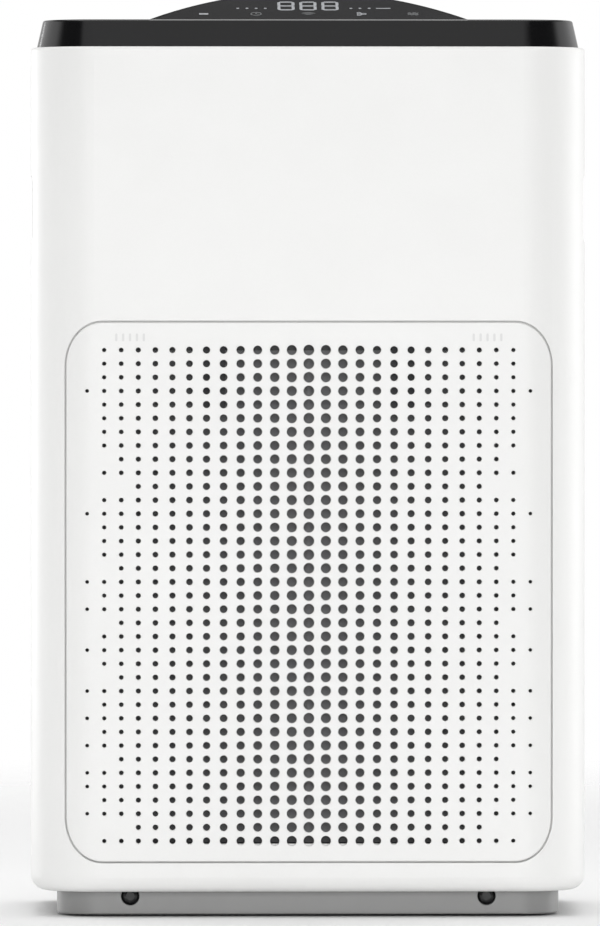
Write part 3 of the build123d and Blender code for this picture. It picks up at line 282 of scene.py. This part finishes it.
def textured_black(name, colour, rough):
    """Black plastic with a coarse leather-like moulded grain."""
    def base(g, p):
        return g.mix(g.noise(p, 300.0, 3.0), colour, tuple(c * 1.5 for c in colour))

    def roughness(g, p):
        return g.noise(p, 500.0, 2.0) * 0.15 + rough

    def normal(g, p):
        return g.bump(g.cells(p, 1300.0) * 0.6 + g.noise(p, 1800.0, 2.0) * 0.4, 0.00006)

    return material(name, base, roughness, normal)


def soft_rubber(name, colour):
    """Matt rubber: dull, with pale bloom in patches."""
    def base(g, p):
        return g.mix(g.noise(p, 120.0, 3.0).step(0.45, 0.75) * 0.35, colour, (0.10, 0.10, 0.098))

    return material(
        name, base, lambda g, p: g.noise(p, 300.0, 2.0) * 0.12 + 0.78,
        lambda g, p: g.bump(g.noise(p, 900.0, 2.0), 0.00005),
    )


def foam(name, colour):
    """Closed-cell foam: small bubbles cut open at the surface, their middles darkened: painted shade in
    their hollows.
    """
    def bubbles(g, p):
        return g.cells(p, 1100.0)

    return material(
        # The colour halves towards each bubble's middle, where the bump dips: painted shade.
        name, lambda g, p: g.mix(bubbles(g, p).step(0.1, 0.6), tuple(c * 0.5 for c in colour), colour),
        0.92, lambda g, p: g.bump(bubbles(g, p), 0.0003),
    )


def turned_steel(name, colour):
    """Plated steel with fine tool marks."""
    def marks(g, p):
        return g.noise(g.scaled(p, (1.0, 9.0, 1.0)), 900.0, 2.0)

    return material(
        name, lambda g, p: g.mix(g.noise(p, 90.0, 2.0), colour, tuple(c * 0.8 for c in colour)),
        lambda g, p: marks(g, p) * 0.2 + 0.22, lambda g, p: g.bump(marks(g, p), 0.00001), Metallic=1.0,
    )


def enamelled(name, colour):
    """Dark enamel over a pressed can: slight orange peel."""
    return material(
        name, lambda g, p: g.mix(g.noise(p, 200.0, 3.0), colour, tuple(c * 1.3 for c in colour)),
        lambda g, p: g.noise(p, 150.0, 2.0) * 0.1 + 0.38,
        lambda g, p: g.bump(g.noise(p, 420.0, 1.0), 0.00004), Metallic=0.2,
    )


def circuit_board(name):
    """Green solder mask over copper tracks that run in steps, with small pads."""
    def tracks(g, p):
        x, y, z = g.split(p)
        return g.node("ShaderNodeTexBrick", {"offset": 0.5}, {
            "Vector": g.node("ShaderNodeCombineXYZ", inputs=[x + y, z + y * 0.4, 0.0]),
            "Scale": 160.0, "Mortar Size": 0.05, "Mortar Smooth": 0.2,
        }, output=1)

    def base(g, p):
        pads = g.cells(p, 260.0).step(0.16, 0.12)
        board = g.mix(tracks(g, p), (0.012, 0.10, 0.045), (0.03, 0.19, 0.08))
        return g.mix(pads, board, (0.55, 0.52, 0.45))

    return material(name, base, 0.35, lambda g, p: g.bump(tracks(g, p), 0.00004))


def pleat_paper(name):
    """Glass-fibre paper: short felted fibres, with painted shade: greyer in the hollows of the fibre bump.
    """
    def fibres(g, p):
        return g.noise(g.scaled(p, (1.0, 1.0, 0.25)), 2400.0, 3.0, 0.7)

    return material(
        # Grey where the fibre bump is low, near white where it is high: painted shade.
        name, lambda g, p: g.mix(fibres(g, p), (0.60, 0.60, 0.58), (0.82, 0.82, 0.80)),
        0.9, lambda g, p: g.bump(fibres(g, p), 0.00012),
    )


def carbon_grains(name):
    """Crushed carbon bonded in a board: sharp black grains with a few glints, darker towards their edges:
    painted shade between the grains.
    """
    def grains(g, p):
        return g.cells(p, 620.0)

    return material(
        name,
        # Lighter on each grain's raised middle, darker where the bump falls away: painted shade.
        lambda g, p: g.mix(grains(g, p).step(0.0, 0.7), (0.035, 0.035, 0.036), (0.008, 0.008, 0.008)),
        lambda g, p: grains(g, p) * 0.5 + 0.4,
        lambda g, p: g.bump(1.0 - grains(g, p), 0.0008),
    )


def woven(name, one, two, per_metre, depth):
    """A plain weave: threads that pass over and under by turns, in the plane across Y. The colour goes
    from one in the weave's low points to two on its high ones: painted shade.
    """
    def threads(g, p):
        x, _, z = g.split(p)
        turn = math.pi * per_metre
        warp, weft = (x * turn).math("SINE"), (z * turn).math("SINE")
        return warp * weft * 0.5 + 0.5

    return material(
        # Darker where the threads dip, lighter where they cross over: painted shade.
        name, lambda g, p: g.mix(threads(g, p).step(0.2, 0.8), one, two), 0.8,
        lambda g, p: g.bump(threads(g, p), depth),
    )


def lit_print(name, colour, glow):
    """Translucent light-grey print, lit from behind: a little uneven."""
    def shade(g, p):
        return g.mix(g.noise(p, 600.0, 2.0), tuple(c * 0.8 for c in colour), colour)

    return material(name, shade, 0.35, **{"Emission Color": shade, "Emission Strength": glow})


def copper_wound(name):
    """Laminated iron wound with enamelled copper: fine turns round the ring, dark copper in the grooves
    between them: painted shade.
    """
    def turns(g, p):
        return g.node("ShaderNodeTexWave", {"bands_direction": "Y"}, {"Vector": p, "Scale": 260.0})

    return material(
        # Dark copper in the grooves of the turns, light on their tops: painted shade.
        name, lambda g, p: g.mix(turns(g, p), (0.35, 0.12, 0.05), (0.62, 0.27, 0.12)), 0.35,
        lambda g, p: g.bump(turns(g, p), 0.0002), Metallic=0.8,
    )


FINISHES = {
    "white_shell": satin_plastic("white_shell", (0.86, 0.86, 0.85)),
    "white_panel": satin_plastic("white_panel", (0.85, 0.85, 0.84), rough=0.40),
    "black_gloss": gloss_black("black_gloss", (0.006, 0.006, 0.0065), 0.10),
    "smoked_lens": gloss_black("smoked_lens", (0.006, 0.006, 0.007), 0.13),
    "black_matte": textured_black("black_matte", (0.012, 0.012, 0.013), 0.45),
    "grey_plinth": satin_plastic("grey_plinth", (0.255, 0.255, 0.253), rough=0.34),
    "grey_plastic": satin_plastic("grey_plastic", (0.36, 0.37, 0.38), rough=0.45),
    "dark_plastic": satin_plastic("dark_plastic", (0.035, 0.035, 0.037), grain=0.00003, rough=0.45),
    "rubber_black": soft_rubber("rubber_black", (0.02, 0.02, 0.02)),
    "lead_sheath": soft_rubber("lead_sheath", (0.025, 0.025, 0.026)),
    "foam_black": foam("foam_black", (0.03, 0.03, 0.03)),
    # The mesh and the ribbon take their darker colour in their weaves' low points: painted shade.
    "mesh_grey": woven("mesh_grey", (0.10, 0.10, 0.102), (0.42, 0.42, 0.43), 1500.0, 0.0003),
    "ribbon": woven("ribbon", (0.05, 0.05, 0.055), (0.16, 0.16, 0.165), 1600.0, 0.0001),
    "pleat_white": pleat_paper("pleat_white"),
    "carbon_black": carbon_grains("carbon_black"),
    "steel": turned_steel("steel", (0.62, 0.62, 0.63)),
    "spring_steel": turned_steel("spring_steel", (0.5, 0.5, 0.51)),
    "brass_pin": turned_steel("brass_pin", (0.75, 0.6, 0.3)),
    "motor_paint": enamelled("motor_paint", (0.04, 0.04, 0.043)),
    "component": enamelled("component", (0.02, 0.02, 0.021)),
    "board_green": circuit_board("board_green"),
    "stator_iron": copper_wound("stator_iron"),
    "lit_white": lit_print("lit_white", (0.36, 0.37, 0.39), 0.16),
}
# The push marks are greyer than the white panel, standing in for the shade of their low relief: painted
# shade.
PRESS_MARK_PAINTED_SHADE = satin_plastic("press_mark_painted_shade", (0.74, 0.74, 0.735), rough=0.5)
DIM_PRINT = lit_print("dim_print", (0.12, 0.125, 0.13), 0.15)


def dress_nodes():
    """Gives every CAD node the finish of its slot, but the push marks a grey of painted shade."""
    for part in frame["record"]["subparts"]:
        node, slot = part["node"], part["material_slot"]
        mesh = NODES[node].data
        mesh.materials.clear()
        mesh.materials.append(PRESS_MARK_PAINTED_SHADE if node == "push_marks" else FINISHES[slot])


# ================= mesh helpers =================

def box_mm(node):
    """The low and the high corner of a node's box, in millimetres."""
    low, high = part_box(node)
    return np.array(low) / MM, np.array(high) / MM


def add_piece(name, points, faces, finish, body, replaces=(), normals=None, sharp=None):
    """Makes a mesh piece from an array of points (millimetres) and a list of faces. normals, where given,
    has one direction for each corner of each face."""
    mesh = bpy.data.meshes.new(name)
    mesh.from_pydata((np.asarray(points) * MM).tolist(), [], faces)
    mesh.materials.append(finish)
    mesh.polygons.foreach_set("use_smooth", np.ones(len(mesh.polygons), bool))
    if sharp is not None:
        mesh.set_sharp_from_angle(angle=math.radians(sharp))
    if normals is not None:
        mesh.normals_split_custom_set(np.asarray(normals).reshape(-1, 3).tolist())
    piece = bpy.data.objects.new(name, mesh)
    bpy.context.scene.collection.objects.link(piece)
    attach(piece, body)
    if replaces:
        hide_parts(*replaces)
    return piece


def ring_quads(levels, around, start=0):
    """The quads of a closed tube: levels rings of around points, numbered from start."""
    level, i = np.meshgrid(np.arange(levels - 1), np.arange(around), indexing="ij")
    j = (i + 1) % around
    a, b = level * around, (level + 1) * around
    return np.stack([a + i, a + j, b + j, b + i], -1).reshape(-1, 4) + start


def skin(rings, closed=False):
    """The points and faces of a surface through equal rings of points, one after another: capped at its
    two ends, or joined end to start."""
    levels, around = rings.shape[:2]
    if closed:
        quads = ring_quads(levels + 1, around) % (levels * around)
        return rings.reshape(-1, 3), quads.tolist()
    first, last = np.arange(around), (levels - 1) * around + np.arange(around)
    caps = [first[::-1].tolist(), last.tolist()]
    return rings.reshape(-1, 3), ring_quads(levels, around).tolist() + caps


def joined(surfaces):
    """Several surfaces as one array of points and one list of faces."""
    points, faces, start = [], [], 0
    for some_points, some_faces in surfaces:
        points.append(some_points)
        faces += [[start + k for k in face] for face in some_faces]
        start += len(some_points)
    return np.concatenate(points), faces


def unit(vectors):
    """A list of vectors, each scaled to length 1."""
    return vectors / np.linalg.norm(vectors, axis=1)[:, None]


def weld(points, quads):
    """Joins points that lie in the same place."""
    keys = np.round(points * 1000).astype(np.int64)
    _, first, back = np.unique(keys, axis=0, return_index=True, return_inverse=True)
    return points[first], back.reshape(-1)[quads]


# ================= front panel =================

def skin_y(x, inset):
    """The casing's front surface, moved inwards by inset: flat, then a quarter circle at each corner."""
    low, high = box_mm("front_housing")
    across = np.maximum(np.abs(x) - (high[0] - CORNER_R), 0.0)
    return low[1] + CORNER_R - np.sqrt((CORNER_R - inset) ** 2 - across**2)


def skin_normal(x, facing):
    """The surface's normal at x, towards facing (-1 out, 1 in)."""
    _, high = box_mm("front_housing")
    across = np.maximum(np.abs(x) - (high[0] - CORNER_R), 0.0) / CORNER_R
    out = np.stack([np.sign(x) * across, -np.sqrt(1 - across**2), np.zeros_like(x)], -1)
    return -facing * out


def hole_grid():
    """Each hole's centre and radius, and the centres of the grid's cells that have no hole. The long rows
    have one hole more at each end than the usual ones, the short rows one fewer, the shortest two."""
    row = np.arange(1, HOLE_ROWS + 1)
    reach = USUAL_REACH + np.isin(row, LONG_ROWS) * 1
    reach = reach - np.isin(row, SHORT_ROWS) - 2 * np.isin(row, SHORTEST_ROWS)
    columns, rows = np.meshgrid(np.arange(-HOLE_SIDE, HOLE_SIDE + 1), row)
    drilled = np.abs(columns) <= reach[:, None]
    x, z = columns * HOLE_PITCH[0], TOP_ROW_Z - (rows - 1) * HOLE_PITCH[1]
    widest, lost, won_back = HOLE_WIDTH
    radius = (widest - lost * np.abs(columns) + won_back * columns**2) / 2
    return (x[drilled], z[drilled], radius[drilled]), (x[~drilled], z[~drilled])


def cell_edge():
    """The points round one cell's edge, from its lower left corner anticlockwise, and the angles of the
    points round its hole that they are joined to."""
    t, one = np.arange(CELL_STEPS) / CELL_STEPS, np.ones(CELL_STEPS)
    x = np.concatenate([-1 + 2 * t, one, 1 - 2 * t, -one]) * HOLE_PITCH[0] / 2
    z = np.concatenate([-one, -1 + 2 * t, one, 1 - 2 * t]) * HOLE_PITCH[1] / 2
    angle = math.radians(-135) + 2 * math.pi * np.arange(len(x)) / len(x)
    return x, z, angle


def hole_cells(hole_x, hole_z, hole_r):
    """The cells with a hole, as (points, quads, normals). Each is a row of rings: from the cell's edge to
    its hole's rounded rim, down the bore and back along the inside. The bore and the inside meet at a
    sharp edge, so each has its own ring of points there."""
    edge_x, edge_z, angle = cell_edge()
    around = len(angle)
    cos, sin = np.cos(angle), np.sin(angle)
    edge = hole_x[:, None] + edge_x, hole_z[:, None] + edge_z
    rim = np.minimum(HOLE_RIM, RIM_SHARE * hole_r)[:, None]

    def circle(grow):
        radius = hole_r[:, None] + grow
        return hole_x[:, None] + radius * cos, hole_z[:, None] + radius * sin

    bore = np.stack([-cos, np.zeros(around), -sin], -1) + np.zeros((len(hole_x), 1, 1))
    levels, normals = [], []
    for (x, z), inset, drop, normal in (
        (edge, 0.0, 0.0, None),
        (circle(rim), 0.0, 0.0, None),
        (circle(0.0), 0.0, rim, bore),
        (circle(0.0), PANEL_THICKNESS, 0.0, bore),
        (circle(0.0), PANEL_THICKNESS, 0.0, None),
        (edge, PANEL_THICKNESS, 0.0, None),
    ):
        levels.append(np.stack([x, skin_y(x, inset) + drop, z], -1))
        normals.append(skin_normal(x, 1 if inset else -1) if normal is None else normal)
    one_cell = np.concatenate([ring_quads(4, around), ring_quads(2, around, 4 * around)])
    quads = one_cell[None] + (np.arange(len(hole_x)) * len(levels) * around)[:, None, None]
    return np.stack(levels, 1).reshape(-1, 3), quads.reshape(-1, 4), np.stack(normals, 1).reshape(-1, 3)


def plain_cells(cell_x, cell_z):
    """The cells with no hole, as two (points, quads, normals): small square grids in front and behind."""
    across = CELL_STEPS + 1
    share = np.arange(across) / CELL_STEPS * 2 - 1
    grid_x, grid_z = np.meshgrid(share * HOLE_PITCH[0] / 2, share * HOLE_PITCH[1] / 2)
    i, j = np.meshgrid(np.arange(CELL_STEPS), np.arange(CELL_STEPS))
    corner = (j * across + i).ravel()
    patch = np.stack([corner, corner + 1, corner + across + 1, corner + across], -1)
    starts = (np.arange(len(cell_x)) * grid_x.size)[:, None, None]
    x, z = cell_x[:, None] + grid_x.ravel(), cell_z[:, None] + grid_z.ravel()
    sheets = []
    for inset, facing in ((0.0, -1), (PANEL_THICKNESS, 1)):
        points = np.stack([x, skin_y(x, inset), z], -1).reshape(-1, 3)
        quads = (patch if facing < 0 else patch[:, ::-1])[None] + starts
        sheets.append((points, quads.reshape(-1, 4), skin_normal(x, facing).reshape(-1, 3)))
    return sheets


def grid_edge():
    """The points round the whole grid's edge, from its lower left corner anticlockwise."""
    right = (HOLE_SIDE + 0.5) * HOLE_PITCH[0]
    upper = TOP_ROW_Z + HOLE_PITCH[1] / 2
    lower = upper - HOLE_ROWS * HOLE_PITCH[1]
    count_x, count_z = (2 * HOLE_SIDE + 1) * CELL_STEPS, HOLE_ROWS * CELL_STEPS
    run_x = 2 * right * (np.arange(count_x) / count_x)
    run_z = (upper - lower) * (np.arange(count_z) / count_z)
    x = np.concatenate([-right + run_x, np.full(count_z, right), right - run_x, np.full(count_z, -right)])
    z = np.concatenate([np.full(count_x, lower), lower + run_z, np.full(count_x, upper), upper - run_z])
    return x, z


def panel_border():
    """The border from the grid to the panel's outline, as (points, quads, normals). The outline is found
    by going from a corner's centre through each point of the grid's edge. The border is level in front,
    rounds over the edge, runs straight down the side and comes back along the inside after a bevel."""
    low, high = box_mm("front_panel")
    grid_x, grid_z = grid_edge()
    corner_x, corner_z = PANEL_CORNER
    centre_x = np.clip(grid_x, -(high[0] - corner_x), high[0] - corner_x)
    centre_z = np.clip(grid_z, low[2] + corner_z, high[2] - corner_z)
    dx, dz = grid_x - centre_x, grid_z - centre_z
    # Away from the corners, a point of the grid's edge lies straight across from its centre.
    straight_x, straight_z = np.abs(dx) < 1e-9, np.abs(dz) < 1e-9
    reach = 1 / np.sqrt((dx / corner_x) ** 2 + (dz / corner_z) ** 2)

    def outline(shrink):
        x = np.where(straight_x, grid_x, centre_x + dx * reach * (1 - shrink / corner_x))
        z = np.where(straight_z, grid_z, centre_z + dz * reach * (1 - shrink / corner_z))
        return x, z

    rings, normals = [], []

    def add_ring(x, y, z, normal):
        rings.append(np.stack([x, y, z], -1))
        normals.append(normal)

    side_x, side_z = outline(0.0)
    outward = [(side_x - centre_x) / corner_x**2, np.zeros_like(side_x), (side_z - centre_z) / corner_z**2]
    out = unit(np.stack(outward, -1))

    front_x, front_z = outline(EDGE_R)
    for share in (0.0, 1 / 3, 2 / 3, 1.0):
        x, z = grid_x + (front_x - grid_x) * share, grid_z + (front_z - grid_z) * share
        add_ring(x, skin_y(x, 0.0), z, skin_normal(x, -1))
    for degrees in (30, 60, 90):
        cos, sin = math.cos(math.radians(degrees)), math.sin(math.radians(degrees))
        x, z = outline(EDGE_R * (1 - sin))
        add_ring(x, skin_y(x, 0.0) + EDGE_R * (1 - cos), z, skin_normal(x, -1) * cos + out * sin)
    add_ring(side_x, skin_y(side_x, PANEL_THICKNESS) - BACK_BEVEL, side_z, out)
    back_x, back_z = outline(BACK_BEVEL)
    for share in (0.0, 0.5, 1.0):
        x, z = back_x + (grid_x - back_x) * share, back_z + (grid_z - back_z) * share
        add_ring(x, skin_y(x, PANEL_THICKNESS), z, skin_normal(x, 1))
    quads = ring_quads(len(rings), len(grid_x))[:, ::-1]
    return np.stack(rings).reshape(-1, 3), quads, np.stack(normals).reshape(-1, 3)


def front_panel():
    """The perforated cover: a grid of cells, with and without holes, and the border round it."""
    holes, plain = hole_grid()
    surfaces = [hole_cells(*holes), *plain_cells(*plain), panel_border()]
    points, quads, normals, start = [], [], [], 0
    for some_points, some_quads, some_normals in surfaces:
        points.append(some_points)
        quads.append(some_quads + start)
        normals.append(some_normals)
        start += len(some_points)
    quads = np.concatenate(quads)
    corner_normals = np.concatenate(normals)[quads]
    points, quads = weld(np.concatenate(points), quads)
    add_piece(
        "front_panel_skin", points, quads.tolist(), FINISHES["white_panel"], "panel",
        ("front_panel",), corner_normals,
    )


# ================= display =================

def slope_frame():
    """The slope's middle line: a point under the figures' middle, and the directions up and out of it."""
    tilt = math.radians(SLOPE_DEG)
    up = np.array([0, math.cos(tilt), math.sin(tilt)])
    out = np.array([0, -math.sin(tilt), math.cos(tilt)])
    low, high = box_mm("led_digits")
    middle = (low + high) / 2 - out * (PRINT_THICKNESS / 2)
    middle[0] = 0
    return middle, up, out


def on_slope(u, v, height):
    """Points at u across, v up the slope from the figures' middle, and height above the lens."""
    middle, up, out = slope_frame()
    u, v, height = np.broadcast_arrays(u, v, height)
    return middle + u[..., None] * np.array([1.0, 0, 0]) + v[..., None] * up + height[..., None] * out


def bar_outline(length, width):
    """A bar with pointed ends, along u, as six points."""
    h, w = length / 2, width / 2
    return np.array([[-h, 0], [-h + w, -w], [h - w, -w], [h, 0], [h - w, w], [-h + w, w]])


def raised(outline, height, bevel):
    """A flat shape raised by height: its outline carried straight up, then in by bevel to a level top."""
    centre = outline.mean(0)
    spread = outline - centre
    distance = np.linalg.norm(spread, axis=1, keepdims=True).clip(bevel * 2)
    shrunk = centre + spread * (1 - bevel / distance)
    rings = [(outline, PRINT_FOOT), (outline, height * 0.5), (shrunk, height)]
    return skin(np.stack([on_slope(flat[:, 0], flat[:, 1], level) for flat, level in rings]))


def figures():
    """Three seven-bar figures, each of three level bars and four upright ones."""
    low, high = box_mm("led_digits")
    height = (high[1] - low[1]) / math.cos(math.radians(SLOPE_DEG))
    width, bar = height * FIGURE_WIDTH, height * FIGURE_BAR
    pitch = (high[0] - low[0] - width) / 2
    level_bar = bar_outline(width - bar * (1 + BAR_GAP), bar)
    upright_bar = bar_outline((height - bar) / 2 - bar * BAR_GAP, bar)[:, ::-1] * [-1, 1]
    outlines = []
    for middle in (-pitch, 0, pitch):
        for level in (-1, 0, 1):
            outlines.append(level_bar + [middle, level * (height - bar) / 2])
        for side in (-1, 1):
            for level in (-1, 1):
                place = [middle + side * (width - bar) / 2, level * (height - bar) / 4]
                outlines.append(upright_bar + place)
    points, faces = joined([raised(outline, FIGURE_RISE, FIGURE_BEVEL) for outline in outlines])
    add_piece(
        "figures", points, faces, FINISHES["lit_white"], "root", ("led_digits",), sharp=40,
    )


def stroke(path, width, closed):
    """A low ribbon: a rectangle with bevelled top edges carried along a path on the lens."""
    ahead = np.roll(path, -1, 0) - path
    if not closed:
        ahead[-1] = ahead[-2]
    behind = np.roll(ahead, 1, 0)
    if not closed:
        behind[0] = ahead[0]
    along = unit(unit(ahead) + unit(behind))
    across = np.stack([along[:, 1], -along[:, 0]], -1)
    half = width / 2
    profile = (
        (half, PRINT_FOOT), (-half, PRINT_FOOT), (-half, LINE_EDGE),
        (-half + LINE_BEVEL, LINE_RISE), (half - LINE_BEVEL, LINE_RISE), (half, LINE_EDGE),
    )
    lines = []
    for side, level in profile:
        u, v = (path + across * side).T
        lines.append(on_slope(u, v, level))
    return skin(np.stack(lines, 1), closed)


def arc(radius, start, sweep, count, centre=(0.0, 0.0)):
    """Points on an arc, from start through sweep, in degrees."""
    angle = np.radians(start + sweep * np.linspace(0, 1, count))
    return np.stack([centre[0] + radius * np.cos(angle), centre[1] + radius * np.sin(angle)], -1)


def symbol_strokes():
    """The five key symbols in millimetres, as lists of (path, closed): a lamp bar, a clock with its two
    hands, three arcs of air flow, a fan of three lobes round its hub, and three waves."""
    turn = np.linspace(0, 2 * np.pi, 72, endpoint=False)
    lobes = 2.2 + 1.1 * np.cos(3 * turn)
    rose = np.stack([lobes * np.cos(turn), lobes * np.sin(turn)], -1)
    x = np.linspace(-3.2, 3.2, 24)
    wave = 0.7 * np.sin(x * 2.2)
    hands = np.array([[0, 2.0], [0, 0], [1.5, -0.8]])
    return [
        [(np.array([[-2.8, 0.0], [0.0, 0.0], [2.8, 0.0]]), False)],
        [(arc(3.1, 0, 350, 40), True), (hands, False)],
        [(arc(radius, 45, 90, 14, (0, -3.0)), False) for radius in (2.2, 4.0, 5.8)],
        [(rose, True), (arc(0.8, 0, 330, 12), True)],
        [(np.stack([x, wave + level], -1), False) for level in (-1.6, 0.2, 2.0)],
    ]


def key_symbols():
    """The symbols of the touch keys, printed under the figures. The lamp bar and the fan are lit."""
    low, high = box_mm("touch_icons")
    middle, up, _ = slope_frame()
    row = np.dot(np.array([0, (low[1] + high[1]) / 2, (low[2] + high[2]) / 2]) - middle, up)
    pitch = (high[0] - low[0] - SYMBOL_WIDTH) / 4
    for k, strokes in enumerate(symbol_strokes()):
        place = np.array([(k - 2) * pitch, row])
        width = LAMP_LINE if k == 0 else THIN_LINE
        points, faces = joined([stroke(path + place, width, closed) for path, closed in strokes])
        add_piece(
            f"key_symbol_{k + 1}", points, faces, FINISHES["lit_white"] if k in (0, 3) else DIM_PRINT,
            "root", ("touch_icons",) if k == 0 else (), sharp=40,
        )


# ================= latch springs =================

def latch_spring(side):
    """A coil spring: the wire's circle carried along a helix about Y."""
    node = f"{side}_latch_spring"
    low, high = box_mm(node)
    coil_r = (high[0] - low[0]) / 2 - SPRING_WIRE_R
    x, z = (low[0] + high[0]) / 2, (low[2] + high[2]) / 2
    length = high[1] - low[1]
    turns = (length - 2 * SPRING_WIRE_R) / SPRING_PITCH
    turn = np.linspace(0, 2 * np.pi * turns, int(STEPS_A_TURN * turns))[:, None]
    section = np.linspace(0, 2 * np.pi, STEPS_ROUND_WIRE, endpoint=False)[None]
    reach = coil_r + SPRING_WIRE_R * np.cos(section)
    y = low[1] + SPRING_WIRE_R * (1 + np.sin(section)) + SPRING_PITCH * turn / (2 * np.pi)
    rings = np.stack(np.broadcast_arrays(x + reach * np.cos(turn), y, z + reach * np.sin(turn)), -1)
    points, faces = skin(rings)
    spring = add_piece(
        f"{side}_latch_coil", points, faces, FINISHES["spring_steel"], "root", (node,),
    )
    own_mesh(spring)


# ================= floor, world and lights =================

FLOOR_HALF = 4.0                   # metres
FLOOR_FADE = (0.7, 2.2)            # metres from the middle: where the floor starts to fade and is gone

# The brightness of the studio's zones.
WALLS, BACK_WALL, WALL_TOPS, CEILING, FRONT_WALL, BROW = 1.35, 0.70, 0.09, 1.18, 0.45, 0.68
# The soft edges of the zones, on the scale from -1 to 1 of a direction's part along one axis.
BEHIND_EDGE, SIDE_EDGE, CEILING_EDGE = (-0.30, 0.05), (0.3, 0.8), (0.7, 0.9)
TOPS_EDGE, BROW_EDGE, BROW_ENDS, BROW_MIDDLE = (0.45, 0.62), (0.25, 0.4), (0.24, 0.38), -0.10

# The lights, in metres and watts.
MIDDLE = (0, 0, 0.30)              # what the front light and the edge lights face
FRONT_PLACE, FRONT_SIZE, FRONT_WATTS = (0.05, -3.0, 0.72), (1.2, 1.3), 33.5
EDGE_HEIGHT, EDGE_DISTANCE, EDGE_SIZE = 0.35, 2.2, (0.9, 1.1)
LEFT_TURN, LEFT_WATTS = -132, 11
RIGHT_TURN, RIGHT_WATTS = 111, 10
TOP_PLACE, TOP_SIZE, TOP_WATTS = (0.0, 0.2, 2.4), (2.0, 2.0), 16.5


def add_floor():
    """A white floor that fades into the white room about two metres away."""
    size = FLOOR_HALF
    corners = [(-size, -size, 0), (size, -size, 0), (size, size, 0), (-size, size, 0)]
    mesh = bpy.data.meshes.new("floor")
    mesh.from_pydata(corners, [], [(0, 1, 2, 3)])
    floor = bpy.data.objects.new("floor", mesh)
    bpy.context.scene.collection.objects.link(floor)

    def base(g, p):
        return g.mix(g.noise(p, 3.0), (0.89, 0.89, 0.89), (0.9, 0.9, 0.9))

    def fade(g, p):
        distance = g.node("ShaderNodeVectorMath", {"operation": "LENGTH"}, [p], 1)
        return 1.0 - distance.step(*FLOOR_FADE)

    mesh.materials.append(material("floor_white", base, 0.7, Alpha=fade))


def add_world():
    """A white studio as six soft-edged zones: walls at the sides, a darker one behind, a dim band above
    them, a bright ceiling, a dim wall in front, and a brow of light over it. The camera sees white."""
    world = bpy.data.worlds.new("studio")
    bpy.context.scene.world = world
    graph = Graph(world)
    x, y, z = graph.split(graph.node("ShaderNodeTexCoord", output=0))
    behind, ceiling = y.step(*BEHIND_EDGE), z.step(*CEILING_EDGE)
    tops, high_front = z.step(*TOPS_EDGE), z.step(*BROW_EDGE)
    sides = x.math("ABSOLUTE").step(*SIDE_EDGE)
    wall = sides * WALLS + (1.0 - sides) * BACK_WALL
    walls = behind * ((1.0 - tops) * wall + tops * (1.0 - ceiling) * WALL_TOPS)
    ahead = 1.0 - (x - BROW_MIDDLE).math("ABSOLUTE").step(*BROW_ENDS)
    brow = high_front * (1.0 - ceiling) * ahead * BROW
    front = (1.0 - behind) * ((1.0 - high_front) * FRONT_WALL + brow)
    seen = graph.node("ShaderNodeLightPath")
    level = seen + (1.0 - seen) * (walls + front + ceiling * CEILING)
    shader = graph.node("ShaderNodeBackground", inputs={"Color": (1, 1, 1, 1), "Strength": level})
    graph.node("ShaderNodeOutputWorld", inputs={"Surface": shader})


def add_softbox(name, place, aim, size, watts):
    """A rectangular soft light at place, facing aim."""
    data = bpy.data.lights.new(name, "AREA")
    data.shape = "RECTANGLE"
    data.size, data.size_y = size
    data.energy = watts
    light = bpy.data.objects.new(name, data)
    bpy.context.scene.collection.objects.link(light)
    light.location = place
    light.rotation_euler = (Vector(aim) - Vector(place)).to_track_quat("-Z", "Y").to_euler()


def edge_place(azimuth):
    """The place of an edge light: azimuth in degrees from the front, positive to the right."""
    turn = math.radians(azimuth)
    return (math.sin(turn) * EDGE_DISTANCE, -math.cos(turn) * EDGE_DISTANCE, EDGE_HEIGHT)


def add_lights():
    """A soft light in front, one overhead, and one behind each side to brighten the edges."""
    add_softbox("front_soft", FRONT_PLACE, MIDDLE, FRONT_SIZE, FRONT_WATTS)
    add_softbox("left_edge_soft", edge_place(LEFT_TURN), MIDDLE, EDGE_SIZE, LEFT_WATTS)
    add_softbox("right_edge_soft", edge_place(RIGHT_TURN), MIDDLE, EDGE_SIZE, RIGHT_WATTS)
    add_softbox("top_soft", TOP_PLACE, (0, 0, 0), TOP_SIZE, TOP_WATTS)


add_camera()
add_floor()
add_world()
add_lights()
bpy.context.scene.view_settings.view_transform = "Standard"

dress_nodes()
front_panel()
figures()
key_symbols()
latch_spring("left")
latch_spring("right")
